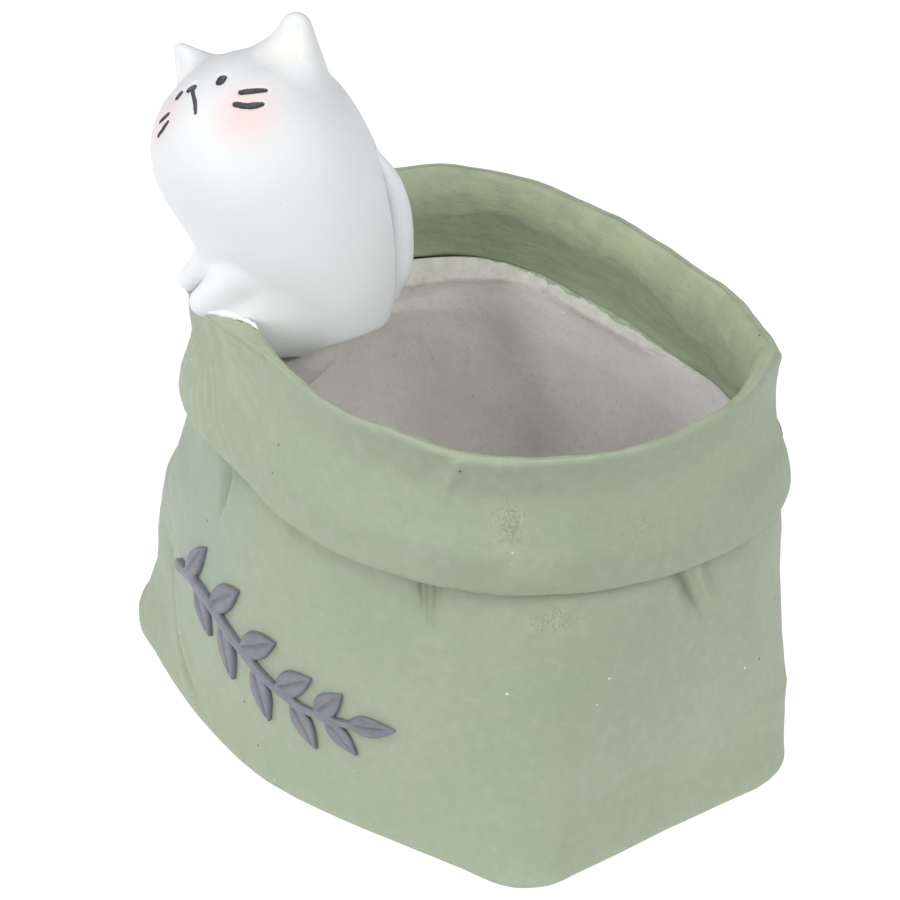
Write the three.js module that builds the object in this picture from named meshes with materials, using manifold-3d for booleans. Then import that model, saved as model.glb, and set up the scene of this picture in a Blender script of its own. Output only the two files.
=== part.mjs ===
// Cast planter in the shape of a standing sack with a folded-over cuff, with a white cat on its front rim.
// Millimetres, +Z up. X runs along the wide front face, the front looks towards -Y.
// The origin is on the flat base, under the middle of the four base corners.
import * as THREE from 'three';
import { mergeVertices } from 'three/addons/utils/BufferGeometryUtils.js';
import Module from 'manifold-3d';

const wasm = await Module();
wasm.setup();

// ---------------------------------------------------------------- driving dimensions
const GAP = 0.3;                       // bond line between touching pieces
// steps round the sack in one quadrant, degrees, closer together at the base corners
const STEPS = [0, 7, 13, 18, 22, 25.4, 29, 34, 41, 49, 57, 65, 73, 82];
// base outline: flat ends at x = +-HALF_LENGTH, bellied long sides
const HALF_LENGTH = 60.7;
const HALF_DEPTH = 28.8;               // at the four corners
const BELLY = 16.0;                    // how far the long sides bow out in the middle
const CORNER_SHARP = 8;                // corner blend at the base
const CORNER_SOFT = 24;                // corner blend of the belly above it
const CORNER_FADE = [24, 14, 9, 24];   // height over which each base corner dies out: back right, back left, front left, front right
const WALL_TOP = 60.5;                   // top of the two walls, under the cuff
const NECK_Z = 51;                     // the belly draws in to the neck at this height
const BODY_WALL = 3;
const BODY_FLOOR = 3.5;
const LINER_GAP = 0.7;                 // grout between the two castings
const LINER_WALL = 3.5;
const LINER_FLOOR = 3.5;
const LEDGE_DROP = 3.2;                // raw chamfer at the top of the inner pot
const LEDGE_WIDTH = 3.6;
const SKIRT_OVERHANG = 1.8;            // cuff edge outside the neck
// radius and height of the rim's crest and of the cuff's lower edge, every 15 degrees from +X towards +Y
const RIM_R = [62.6, 61.3, 57.5, 50.3, 44.2, 42.1, 41.9, 43.2, 47.3, 51.2, 52.4, 52.2, 51.4, 49.0, 45.6, 43.8, 42.1, 40.2, 39.5, 42.0, 46.7, 52.9, 59.2, 62.5];
const RIM_Z = [77.0, 77.5, 77.8, 77.9, 77.9, 77.8, 77.8, 77.9, 78.0, 78.0, 77.8, 77.4, 76.9, 76.6, 76.6, 77.1, 77.8, 78.5, 78.8, 78.4, 77.5, 76.9, 76.5, 76.7];
const CUFF_R = [63.3, 63.9, 61.6, 55.2, 48.6, 46.0, 45.4, 46.6, 50.4, 54.6, 56.4, 56.8, 56.5, 54.6, 50.6, 46.5, 44.0, 42.0, 42.0, 44.8, 49.3, 54.2, 59.5, 62.6];
const CUFF_Z = [52.3, 52.4, 52.4, 52.2, 52.1, 52.1, 52.4, 52.7, 52.9, 52.8, 52.5, 52.3, 52.4, 53.0, 54.0, 55.0, 55.5, 55.3, 54.7, 53.7, 53.1, 52.7, 52.4, 52.3];
const PINCH = { at: 28, width: 7, out: 0.6, up: 0.8 };   // pinched corner of the rim, degrees and mm
// drain
const DRAIN = { x: 12, y: 3, r: 5.3 };
const PLUG = { stem: 5.0, flange: 9, flangeHeight: 2, knob: 3.2, knobHeight: 6 };
// cat: median plane through (CAT.x, CAT.y), facing the heading below; heights and radii from the crown down to the rump
const CAT = { x: -28.5, y: -34, heading: -125, top: 118.52, bottom: 64.83, side: 1.03 };
const CAT_R = [22.63, 21.6, 20.39, 18.11, 17.31, 19.52, 19.1];
const CAT_S = [-13.65, -13.56, -13.83, -17.31, -21.0, -23.03, -23.9];
const LEG_NEAR = { from: [-11.2, 5.6, 87], to: [-4.6, 8.6, 78.8], r: 3.6 };   // along the heading, to the cat's left, up
const LEG_FAR = { from: [-7.5, -0.8, 85], to: [-2.0, -2.0, 78.0], r: 3.1 };
const EAR_NEAR = { tip: [-20.0, -15.0, 124.3], foot: [-18.6, -20.0, 110.5], wide: 8.4, thick: 5.4 };
const EAR_FAR = { tip: [-42.4, -23.5, 114.2], foot: [-30.0, -23.8, 107.4], wide: 8.0, thick: 5.2 };
const THIGH = { at: [-12, 9.5, 76], size: [9, 7.5, 9] };
const TAIL = [[-32.4, 100.4], [-35.2, 95.8], [-36.6, 89.2], [-36.8, 83.0], [-36.3, 77.8], [-35.0, 74.6]];   // along the heading, up
const TAIL_R = 2.4;
const MARK = { under: 0.35, over: 0.95 };   // paint thickness, above the skin
// front relief: centre, and the spray's own size
const SPRIG = { at: 273, z: 25, perDegree: 0.785, under: -0.4, over: 1.15 };

// ---------------------------------------------------------------- curves
const TAU = Math.PI * 2;
const rad = d => d * Math.PI / 180;
function cubic(p0, p1, p2, p3, t) {
  return 0.5 * (2 * p1 + (p2 - p0) * t + (2 * p0 - 5 * p1 + 4 * p2 - p3) * t * t + (3 * p1 - p0 - 3 * p2 + p3) * t * t * t);
}
function round(table, a) {             // periodic curve through a table of equal steps
  const n = table.length, u = ((a / TAU) % 1 + 1) % 1 * n, i = Math.floor(u), t = u - i;
  return cubic(table[(i + n - 1) % n], table[i % n], table[(i + 1) % n], table[(i + 2) % n], t);
}
function along(table, t) {             // open curve through a table, t from 0 to 1
  const n = table.length - 1, u = Math.min(Math.max(t, 0), 1) * n, i = Math.min(Math.floor(u), n - 1);
  const p = k => k < 0 ? 2 * table[0] - table[1] : k > n ? 2 * table[n] - table[n - 1] : table[k];
  return cubic(p(i - 1), p(i), p(i + 1), p(i + 2), u - i);
}
const mix = (a, b, t) => a + (b - a) * t;
function softMin(a, b, k) {
  const h = Math.max(k - Math.abs(a - b), 0) / k;
  return Math.min(a, b) - h * h * k / 4;
}
const ANGLES = [0, 1, 2, 3].flatMap(q => q % 2 ? [90, ...STEPS.slice(1).reverse()].map(d => q * 90 + 90 - d) : STEPS.map(d => q * 90 + d)).map(rad);
const wrapDeg = d => ((d + 180) % 360 + 360) % 360 - 180;

// ---------------------------------------------------------------- the sack's surfaces, as radius at an angle
function baseR(a, blend) {
  const c = Math.abs(Math.cos(a)), s = Math.abs(Math.sin(a));
  const end = c > 1e-6 ? HALF_LENGTH / c : 1e6;
  const q = BELLY * c * c / (HALF_LENGTH * HALF_LENGTH);
  const side = q > 1e-9 ? (-s + Math.sqrt(s * s + 4 * q * (HALF_DEPTH + BELLY))) / (2 * q) : (HALF_DEPTH + BELLY) / s;
  return softMin(end, side, blend);
}
const fold = a => Math.exp(-((wrapDeg(a * 180 / Math.PI - 257) / 14) ** 2));   // the rim is widest in front of the cat
const pinch = a => Math.exp(-((wrapDeg(a * 180 / Math.PI - PINCH.at) / PINCH.width) ** 2));
const rimR = a => round(RIM_R, a) + PINCH.out * pinch(a);
const rimZ = a => round(RIM_Z, a) + PINCH.up * pinch(a);
const cuffR = a => round(CUFF_R, a);
const cuffZ = a => round(CUFF_Z, a);
const neckR = a => cuffR(a) - SKIRT_OVERHANG;
const mouthR = a => Math.min(rimR(a) - 4, neckR(a) - BODY_WALL - LINER_GAP - 0.4);       // inside face of the cuff at its foot
function bodyR(a, z) {
  const soft = baseR(a, CORNER_SOFT), extra = baseR(a, CORNER_SHARP) - soft;
  const quadrant = Math.floor(((a / TAU) % 1 + 1) % 1 * 4);
  const w = Math.min(Math.max(z / NECK_Z, 0), 1);
  const flank = Math.exp(-((wrapDeg(a * 180 / Math.PI - 221) / 22) ** 2));   // the front left flank runs straight down
  const lift = Math.pow(w, 2.6 - 1.35 * flank);
  const fade = Math.exp(-Math.max(z, 0) / CORNER_FADE[quadrant]) * (1 - lift);
  return mix(soft, neckR(a), lift) + extra * fade + 1.1 * Math.sin(Math.PI * w) * (1 - 0.5 * Math.abs(Math.cos(a))) * (1 - flank);
}
const ledge = a => LEDGE_WIDTH - 1.9 * Math.exp(-((wrapDeg(a * 180 / Math.PI - 5) / 26) ** 2));   // the raw edge is narrow at the right end
const linerIn = (a, z) => Math.min(bodyR(a, z) - BODY_WALL - LINER_GAP - LINER_WALL, mouthR(a) - ledge(a) + (WALL_TOP - LEDGE_DROP - z) * 0.35);
const cuffIn = (a, z) => mix(mouthR(a), rimR(a) - 2.9, Math.min(Math.max((z - WALL_TOP) / 14, 0), 1));

// ---------------------------------------------------------------- solids
function clean(geometry) {             // welded, no sliver of zero width, facing out
  let g = geometry.index ? geometry.clone() : geometry.clone();
  for (const name of Object.keys(g.attributes)) if (name !== 'position') g.deleteAttribute(name);
  g = mergeVertices(g, 1e-4);
  const idx = g.index.array, keep = [];
  for (let i = 0; i < idx.length; i += 3) {
    const [a, b, c] = [idx[i], idx[i + 1], idx[i + 2]];
    if (a !== b && b !== c && c !== a) keep.push(a, b, c);
  }
  const p = g.attributes.position.array;
  let volume = 0;
  for (let i = 0; i < keep.length; i += 3) {
    const a = keep[i] * 3, b = keep[i + 1] * 3, c = keep[i + 2] * 3;
    volume += p[a] * (p[b + 1] * p[c + 2] - p[b + 2] * p[c + 1]) - p[a + 1] * (p[b] * p[c + 2] - p[b + 2] * p[c]) + p[a + 2] * (p[b] * p[c + 1] - p[b + 1] * p[c]);
  }
  if (volume < 0) for (let i = 0; i < keep.length; i += 3) [keep[i + 1], keep[i + 2]] = [keep[i + 2], keep[i + 1]];
  g.setIndex(keep);
  return g;
}
function solid(geometry) {
  const g = clean(geometry);
  return new wasm.Manifold(new wasm.Mesh({ numProp: 3, vertProperties: new Float32Array(g.attributes.position.array), triVerts: new Uint32Array(g.index.array) }));
}
function largest(body) {
  return body.decompose().sort((a, b) => b.volume() - a.volume())[0];
}
function geometryOf(body) {
  const m = body.getMesh(), g = new THREE.BufferGeometry();
  const p = new Float32Array(m.numVert * 3);
  for (let i = 0; i < m.numVert; i++) for (let k = 0; k < 3; k++) p[i * 3 + k] = m.vertProperties[i * m.numProp + k];
  g.setAttribute('position', new THREE.BufferAttribute(p, 3));
  g.setIndex(Array.from(m.triVerts));
  g.computeVertexNormals();
  return g;
}
// a turned profile whose every point follows its own outline round the sack
function turned(rings) {
  const segments = ANGLES.length;
  const g = new THREE.LatheGeometry(rings.map((_, j) => new THREE.Vector2(1, j)), segments);
  const p = g.attributes.position;
  for (let i = 0; i <= segments; i++) {
    const a = ANGLES[i % segments];
    rings.forEach((ring, j) => {
      const [r, z] = ring(a);
      p.setXYZ(i * rings.length + j, r * Math.cos(a), r * Math.sin(a), z);
    });
  }
  return g;
}
const pole = z => () => [0, z];
const group = new THREE.Group();
function add(name, geometry, colour, roughness, metalness = 0) {
  const mesh = new THREE.Mesh(geometry, new THREE.MeshStandardMaterial({ color: colour, roughness, metalness }));
  mesh.name = name;
  group.add(mesh);
  return mesh;
}
const drill = (r, z0, z1) => {
  const c = new THREE.CylinderGeometry(r, r, z1 - z0, 24).rotateX(Math.PI / 2);
  c.translate(DRAIN.x, DRAIN.y, (z0 + z1) / 2);
  return solid(c);
};

// ---------------------------------------------------------------- outer sack
const bodyOuter = [5, 10, 17, 25, 34, 42, 47, NECK_Z].map(z => a => [bodyR(a, z), z]);
const bodyInner = [NECK_Z, 43, 32, 20, 11].map(z => a => [bodyR(a, z) - BODY_WALL, z]);
const sackBody = solid(turned([
  pole(0), a => [bodyR(a, 0) * 0.5, 0], a => [bodyR(a, 0) - 1.1, 0], a => [bodyR(a, 1.1), 1.1], ...bodyOuter,
  a => [neckR(a), WALL_TOP], a => [neckR(a) - BODY_WALL, WALL_TOP], ...bodyInner,
  a => [bodyR(a, 6) - BODY_WALL - 1.2, 6], a => [bodyR(a, 3.5) - BODY_WALL - 4, BODY_FLOOR], a => [bodyR(a, 3.5) * 0.5, BODY_FLOOR], pole(BODY_FLOOR),
])).subtract(drill(DRAIN.r, -1, 6));

// ---------------------------------------------------------------- inner pot, with the cat's seat
const floor0 = BODY_FLOOR + GAP, floor1 = floor0 + LINER_FLOOR;
const linerOuter = [11, 20, 32, 43, NECK_Z].map(z => a => [bodyR(a, z) - BODY_WALL - LINER_GAP, z]);
const linerInner = [50, 40, 27, 15].map(z => a => [linerIn(a, z), z]);
const linerCup = solid(turned([
  pole(floor0), a => [bodyR(a, 4) * 0.5, floor0], a => [bodyR(a, 4) - BODY_WALL - 4.6, floor0], a => [bodyR(a, 6) - BODY_WALL - 2.0, 6.2], ...linerOuter,
  a => [neckR(a) - BODY_WALL - LINER_GAP, WALL_TOP], a => [mouthR(a) - 0.3, WALL_TOP], a => [mouthR(a) - ledge(a), WALL_TOP - LEDGE_DROP], ...linerInner,
  a => [linerIn(a, 9) - 2.5, 9.2], a => [linerIn(a, 8) - 7, floor1], a => [linerIn(a, 8) * 0.45, floor1], pole(floor1),
]));
// space inside the walls, for trimming the seat
const within = solid(turned([
  pole(20), a => [linerIn(a, 20) + 1.5, 20], a => [linerIn(a, 40) + 1.5, 40], a => [mouthR(a) - 1.8, WALL_TOP - LEDGE_DROP],
  a => [mouthR(a) - 0.6, WALL_TOP - 0.6], a => [mouthR(a) - 0.6, WALL_TOP + 0.3], a => [cuffIn(a, 67) - 0.6, 67], a => [cuffIn(a, 72) - 0.6, 72], pole(72),
]));

// ---------------------------------------------------------------- cuff
const cuffAt = (t, push) => a => [mix(cuffR(a), rimR(a), t) + push, mix(cuffZ(a), rimZ(a), t)];
function cuff(grow) {
  return solid(turned([
    a => [mouthR(a) - grow, WALL_TOP + GAP - grow],
    a => [neckR(a) + GAP - grow, WALL_TOP + GAP - grow],
    a => [neckR(a) + GAP - grow, cuffZ(a) + 1.0 - grow],
    a => [cuffR(a) - 0.7, cuffZ(a) - grow],
    a => [cuffR(a) + 0.1 + grow, cuffZ(a) + 0.9],
    a => [cuffR(a) + 0.5 + grow, cuffZ(a) + 3.5],
    cuffAt(0.3, 0.6 + grow), cuffAt(0.5, -0.4 + grow), cuffAt(0.7, -1.1 + grow), cuffAt(0.86, -0.4 + grow), cuffAt(0.955, 0.5 + grow),
    a => [rimR(a) + 0.1, rimZ(a) + grow],
    a => [rimR(a) - 1.3 - 1.8 * fold(a), rimZ(a) - 0.35 + grow],
    a => [rimR(a) - 2.3 - 2.2 * fold(a) - grow, rimZ(a) - 1.7],
    a => [cuffIn(a, 72) - grow, 72], a => [cuffIn(a, 67) - grow, 67],
    a => [mouthR(a) - grow, WALL_TOP + GAP - grow],
  ]));
}
const cuffRing = cuff(0);
const cuffClear = cuff(GAP);

// ---------------------------------------------------------------- cat
const head = rad(CAT.heading), ahead = new THREE.Vector3(Math.cos(head), Math.sin(head), 0), leftward = new THREE.Vector3(-Math.sin(head), Math.cos(head), 0);
const catPoint = (s, w, z) => new THREE.Vector3(CAT.x, CAT.y, 0).addScaledVector(ahead, s).addScaledVector(leftward, w).setZ(z);
function bean(grow, round = 32, down = 20) {
  const g = new THREE.SphereGeometry(1, round, down), p = g.attributes.position;
  const mid = (CAT.top + CAT.bottom) / 2, half = (CAT.top - CAT.bottom) / 2 + grow;
  for (let iy = 0; iy <= down; iy++) for (let ix = 0; ix <= round; ix++) {
    const t = iy / down, th = Math.PI * t, ph = (ix % round) / round * TAU, sn = iy === 0 || iy === down ? 0 : Math.sin(th);
    const r = (along(CAT_R, t) + grow) * sn;
    const v = catPoint(along(CAT_S, t) + r * Math.cos(ph), r * CAT.side * Math.sin(ph), mid + half * Math.cos(th));
    p.setXYZ(iy * (round + 1) + ix, v.x, v.y, v.z);
  }
  return solid(g);
}
function placed(geometry, from, to) {  // a shape standing on +Y, laid from one point to another
  const dir = to.clone().sub(from).normalize();
  geometry.applyQuaternion(new THREE.Quaternion().setFromUnitVectors(new THREE.Vector3(0, 1, 0), dir));
  geometry.translate(from.x, from.y, from.z);
  return geometry;
}
function limb(a, b, r, sides = 12) {
  const len = a.distanceTo(b), g = new THREE.CapsuleGeometry(r, len, 4, sides);
  return solid(placed(g.translate(0, len / 2, 0), a, b));
}
function ear(spec, grow = 0) {
  const foot = new THREE.Vector3(...spec.foot), tip = new THREE.Vector3(...spec.tip), len = foot.distanceTo(tip);
  const profile = [[0, 0], [1, 0], [0.86, 0.3], [0.62, 0.62], [0.4, 0.85], [0.2, 0.965], [0, 1]].map(([r, h]) => new THREE.Vector2(r, h * len));
  const g = new THREE.LatheGeometry(profile, 16), dir = tip.clone().sub(foot).normalize();
  g.scale(spec.wide + grow, 1, spec.thick + grow);
  const side = new THREE.Vector3().crossVectors(dir, new THREE.Vector3(0.217, -0.917, 0.334)).normalize();   // across the face
  const m = new THREE.Matrix4().makeBasis(side, dir, new THREE.Vector3().crossVectors(side, dir)).setPosition(foot);
  return solid(g.applyMatrix4(m));
}
function thigh(side, grow) {
  const g = new THREE.SphereGeometry(1, 16, 12).scale(...THIGH.size.map(v => v + grow)), [s, w, z] = THIGH.at;
  return solid(g.applyMatrix4(new THREE.Matrix4().makeBasis(ahead, leftward, new THREE.Vector3(0, 0, 1)).setPosition(catPoint(s, w * side, z))));
}
const legs = grow => limb(catPoint(...LEG_NEAR.from), catPoint(...LEG_NEAR.to), LEG_NEAR.r + grow).add(limb(catPoint(...LEG_FAR.from), catPoint(...LEG_FAR.to), LEG_FAR.r + grow)).add(thigh(1, grow)).add(thigh(-1, grow));
const skin = bean(0);
const catBody = largest(skin.add(legs(0)).add(ear(EAR_NEAR)).add(ear(EAR_FAR)).subtract(cuffClear));
const catClear = bean(GAP).add(legs(GAP));

// seat: a swelling of the inner wall that tapers up to the rump
const ball = (r, at) => { const g = new THREE.SphereGeometry(r, 18, 12); g.translate(at.x, at.y, at.z); return solid(g); };
const swell = wasm.Manifold.hull([ball(8, catPoint(-18.5, 0, 60)), ball(3, catPoint(-4, 0, 30))]);
const lid = new THREE.BoxGeometry(200, 200, 60); lid.translate(0, 0, 67 - 30);
const seat = swell.intersect(solid(lid)).intersect(within).subtract(catClear);
const innerPot = largest(linerCup.add(largest(seat)).subtract(drill(DRAIN.r, 0, 12)));

// tail: a roll laid down the back
const tailPath = new THREE.CatmullRomCurve3(TAIL.map(([s, z]) => catPoint(s, 0, z)));
const tailShape = new THREE.Shape(Array.from({ length: 10 }, (_, i) => new THREE.Vector2(TAIL_R * Math.cos(i / 10 * TAU), TAIL_R * Math.sin(i / 10 * TAU))));
const roll = solid(new THREE.ExtrudeGeometry(tailShape, { steps: 16, extrudePath: tailPath, bevelEnabled: false }));
const catTail = largest(roll.subtract(catClear));

// glue bead along the near flank, on the rim
const beadPath = new THREE.CatmullRomCurve3([236, 241, 246, 251, 255].map(d => {
  const a = rad(d), r = rimR(a) - 1.2;
  return new THREE.Vector3(r * Math.cos(a), r * Math.sin(a), rimZ(a) + 0.9);
}));
const beadShape = new THREE.Shape(Array.from({ length: 8 }, (_, i) => new THREE.Vector2(1.5 * Math.cos(i / 8 * TAU), 1.5 * Math.sin(i / 8 * TAU))));
const bead = largest(solid(new THREE.ExtrudeGeometry(beadShape, { steps: 10, extrudePath: beadPath, bevelEnabled: false })).subtract(cuffClear).subtract(catClear));

// face: thin fills that follow the skin
const skinBand = bean(MARK.over).subtract(bean(MARK.under));
function mark(points, radii) {
  const v = points.map(p => new THREE.Vector3(...p));
  let body = null;
  const join = m => { body = body ? body.add(m) : m; };
  if (v.length === 1) {
    const g = new THREE.SphereGeometry(radii, 16, 12); g.translate(v[0].x, v[0].y, v[0].z); join(solid(g));
  }
  for (let i = 0; i + 1 < v.length; i++) join(limb(v[i], v[i + 1], radii, 10));
  return largest(body.intersect(skinBand));
}
const MARKS = {
  left_eye: [[[-19.24, -30.96, 116.55]], 1.25],
  right_eye: [[[-25.86, -34.4, 113.5], [-25.88, -35.68, 112.34]], 0.95],
  nose: [[[-24.26, -34.22, 114.14], [-22.88, -33.15, 115.17]], 1.05],
  mouth_line: [[[-21.6, -34.9, 114.0], [-20.43, -35.43, 113.64], [-18.64, -36.58, 112.41]], 0.8],
  left_whisker_upper: [[[-14.75, -30.73, 115.73], [-13.38, -28.7, 116.0], [-12.09, -26.71, 116.02]], 0.85],
  left_whisker_lower: [[[-13.54, -32.39, 114.3], [-12.0, -31.1, 114.2], [-10.62, -28.9, 114.45]], 0.85],
  right_whisker_upper: [[[-25.15, -37.51, 110.49], [-27.14, -38.02, 108.41]], 0.8],
  right_whisker_lower: [[[-23.98, -38.32, 109.75], [-25.42, -39.34, 106.66]], 0.8],
};

// ---------------------------------------------------------------- front relief: a leafy spray
function onFront(u, v, off) {          // u along the face, v up, both from the relief's centre
  const a = rad(SPRIG.at + u / SPRIG.perDegree), z = SPRIG.z + v, r = bodyR(a, z) + off;
  return [r * Math.cos(a), r * Math.sin(a), z];
}
function raised(points, over) {
  const g = new THREE.ExtrudeGeometry(new THREE.Shape(points), { depth: 1, steps: 1, bevelEnabled: false }), p = g.attributes.position;
  for (let i = 0; i < p.count; i++) {
    const q = onFront(p.getX(i), p.getY(i), mix(SPRIG.under, over, p.getZ(i)));
    p.setXYZ(i, ...q);
  }
  return solid(g);
}
const stemAt = t => new THREE.Vector2(mix(-25, 25, t), 4.2 * Math.sin((t - 0.5) * Math.PI * 1.5) * -1);
function stemOutline(half) {
  const up = [], down = [], n = 16;
  for (let i = 0; i <= n; i++) {
    const t = i / n, p = stemAt(t), d = stemAt(t + 0.01).sub(stemAt(t - 0.01)).normalize(), w = half * (1 - 0.45 * t);
    up.push(new THREE.Vector2(p.x - d.y * w, p.y + d.x * w)); down.push(new THREE.Vector2(p.x + d.y * w, p.y - d.x * w));
  }
  return up.concat(down.reverse());
}
function leafOutline(t, angle, length, width) {
  const foot = stemAt(t), d = stemAt(t + 0.01).sub(stemAt(t - 0.01)), turn = Math.atan2(d.y, d.x) + rad(angle), c = Math.cos(turn), s = Math.sin(turn), pts = [];
  const n = 5;
  for (let i = 0; i <= n; i++) { const k = i / n; pts.push([k * length, width / 2 * Math.pow(Math.sin(Math.PI * Math.pow(k, 0.8)), 0.9)]); }
  for (let i = n - 1; i > 0; i--) { const k = i / n; pts.push([k * length, -width / 2 * Math.pow(Math.sin(Math.PI * Math.pow(k, 0.8)), 0.9)]); }
  return pts.map(([x, y]) => new THREE.Vector2(foot.x + x * c - y * s, foot.y + x * s + y * c));
}
const LEAVES = [[0.1, 48, 9.5, 4.6], [0.18, -46, 9.5, 4.6], [0.3, 50, 10.5, 5], [0.38, -48, 10.5, 5], [0.5, 50, 10.5, 5], [0.58, -48, 10, 4.8], [0.69, 48, 9.5, 4.6], [0.76, -47, 9, 4.4], [0.86, 46, 8, 4], [0.9, -46, 7.5, 3.8], [0.985, 2, 8, 3.6]];
let spray = raised(stemOutline(1.0), SPRIG.over + 0.25);
LEAVES.forEach((leaf, i) => { spray = spray.add(raised(leafOutline(...leaf), SPRIG.over - 0.02 * i)); });
const bodyClear = solid(turned([pole(0), ...[1.1, 5, 10, 17, 25, 34, 42, 47].map(z => a => [bodyR(a, z) + GAP, z]), pole(47)]));
const frontSprig = largest(spray.subtract(bodyClear));

// ---------------------------------------------------------------- drain stopper
const seatZ = floor1 + GAP;
const plugProfile = [[0, 1.2], [PLUG.stem - 0.8, 1.2], [PLUG.stem, 2.2], [PLUG.stem, seatZ], [PLUG.flange - 0.4, seatZ], [PLUG.flange, seatZ + 0.5], [PLUG.flange - 0.6, seatZ + PLUG.flangeHeight - 0.3],
  [PLUG.flange - 2, seatZ + PLUG.flangeHeight], [PLUG.knob - 0.8, seatZ + PLUG.flangeHeight + 0.4], [PLUG.knob - 1, seatZ + PLUG.flangeHeight + 2.4], [PLUG.knob, seatZ + PLUG.flangeHeight + 3.6],
  [PLUG.knob - 0.4, seatZ + PLUG.flangeHeight + PLUG.knobHeight - 0.8], [PLUG.knob - 1.6, seatZ + PLUG.flangeHeight + PLUG.knobHeight], [0, seatZ + PLUG.flangeHeight + PLUG.knobHeight]];
const plugGeometry = clean(new THREE.LatheGeometry(plugProfile.map(([r, h]) => new THREE.Vector2(r, h)), 22).rotateX(Math.PI / 2));
plugGeometry.translate(DRAIN.x, DRAIN.y, 0);
plugGeometry.computeVertexNormals();

// ---------------------------------------------------------------- assembly
add('sack_body', geometryOf(sackBody), 0xa3b09b, 0.78);
add('cuff_ring', geometryOf(cuffRing), 0xa6b29c, 0.76);
add('inner_pot', geometryOf(innerPot), 0xa09c95, 0.82);
add('cat_body', geometryOf(catBody), 0xeceef0, 0.55);
add('cat_tail', geometryOf(catTail), 0xe2e5e8, 0.55);
add('cat_glue_bead', geometryOf(bead), 0xe6e8e6, 0.6);
for (const [name, [points, r]] of Object.entries(MARKS)) add(name, geometryOf(mark(points, r)), 0x4b4b55, 0.4);
add('front_sprig', geometryOf(frontSprig), 0x7e8188, 0.45);
add('drain_plug', plugGeometry, 0x4a4a48, 0.85);

export default group;
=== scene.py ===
# Cat planter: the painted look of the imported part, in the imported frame.
# Shapes are worked out in millimetres and made in metres.
import math
import bpy
import numpy as np
from mathutils import Matrix, Vector


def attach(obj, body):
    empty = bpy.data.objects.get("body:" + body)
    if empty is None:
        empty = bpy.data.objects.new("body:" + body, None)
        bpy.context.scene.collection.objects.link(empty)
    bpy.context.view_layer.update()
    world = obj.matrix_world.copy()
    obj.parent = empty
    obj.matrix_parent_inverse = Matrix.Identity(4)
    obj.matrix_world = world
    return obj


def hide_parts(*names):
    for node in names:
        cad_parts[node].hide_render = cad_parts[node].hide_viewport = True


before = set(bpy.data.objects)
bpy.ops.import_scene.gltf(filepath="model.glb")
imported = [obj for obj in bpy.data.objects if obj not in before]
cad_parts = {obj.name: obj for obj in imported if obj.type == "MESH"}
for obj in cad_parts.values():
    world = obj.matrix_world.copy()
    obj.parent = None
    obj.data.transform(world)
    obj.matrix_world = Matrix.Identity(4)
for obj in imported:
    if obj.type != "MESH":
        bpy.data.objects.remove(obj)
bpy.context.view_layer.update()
MM = 0.001
TAU = 2 * math.pi


# ---------------------------------------------------------------- small maths
def lattice(i, j, k, seed):
    h = (i * 374761393 + j * 668265263 + k * 1442695041 + seed * 974634777) & 0xFFFFFFFF
    h = ((h ^ (h >> 13)) * 1274126177) & 0xFFFFFFFF
    h = ((h ^ (h >> 15)) * 1103515245) & 0xFFFFFFFF
    return (h ^ (h >> 16)) / 4294967295.0


def noise(P, size, seed):
    """Smooth lattice noise from -1 to 1, with lumps of the given size."""
    q = np.asarray(P, float) / size
    i = np.floor(q).astype(np.int64)
    f = q - i
    f = f * f * f * (f * (f * 6 - 15) + 10)
    out = 0
    for a in (0, 1):
        for b in (0, 1):
            for c in (0, 1):
                w = (f[..., 0] if a else 1 - f[..., 0]) * (f[..., 1] if b else 1 - f[..., 1]) * (f[..., 2] if c else 1 - f[..., 2])
                out = out + w * lattice(i[..., 0] + a, i[..., 1] + b, i[..., 2] + c, seed)
    return 2 * out - 1


def smooth(x, a, b):
    t = np.clip((np.asarray(x, float) - a) / (b - a), 0, 1)
    return t * t * (3 - 2 * t)


def wrap(d):
    return (d + 180) % 360 - 180


def hump(a, at, width):
    return np.exp(-(wrap(np.degrees(a) - at) / width) ** 2)


def softmin(a, b, k):
    h = np.maximum(k - np.abs(a - b), 0) / k
    return np.minimum(a, b) - h * h * k / 4


def softmax(a, b, k):
    return -softmin(-a, -b, k)


def cubic(p0, p1, p2, p3, t):
    return 0.5 * (2 * p1 + (p2 - p0) * t + (2 * p0 - 5 * p1 + 4 * p2 - p3) * t * t + (3 * p1 - p0 - 3 * p2 + p3) * t ** 3)


def ring_table(table, a):
    table = np.asarray(table, float)
    n = len(table)
    u = (a / TAU) % 1 * n
    i = np.floor(u).astype(int)
    return cubic(table[(i + n - 1) % n], table[i % n], table[(i + 1) % n], table[(i + 2) % n], u - i)


def along(table, t):
    p = np.concatenate([[2 * table[0] - table[1]], table, [2 * table[-1] - table[-2]]])
    n = len(table) - 1
    u = np.clip(t, 0, 1) * n
    i = np.minimum(np.floor(u).astype(int), n - 1)
    return cubic(p[i], p[i + 1], p[i + 2], p[i + 3], u - i)


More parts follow.
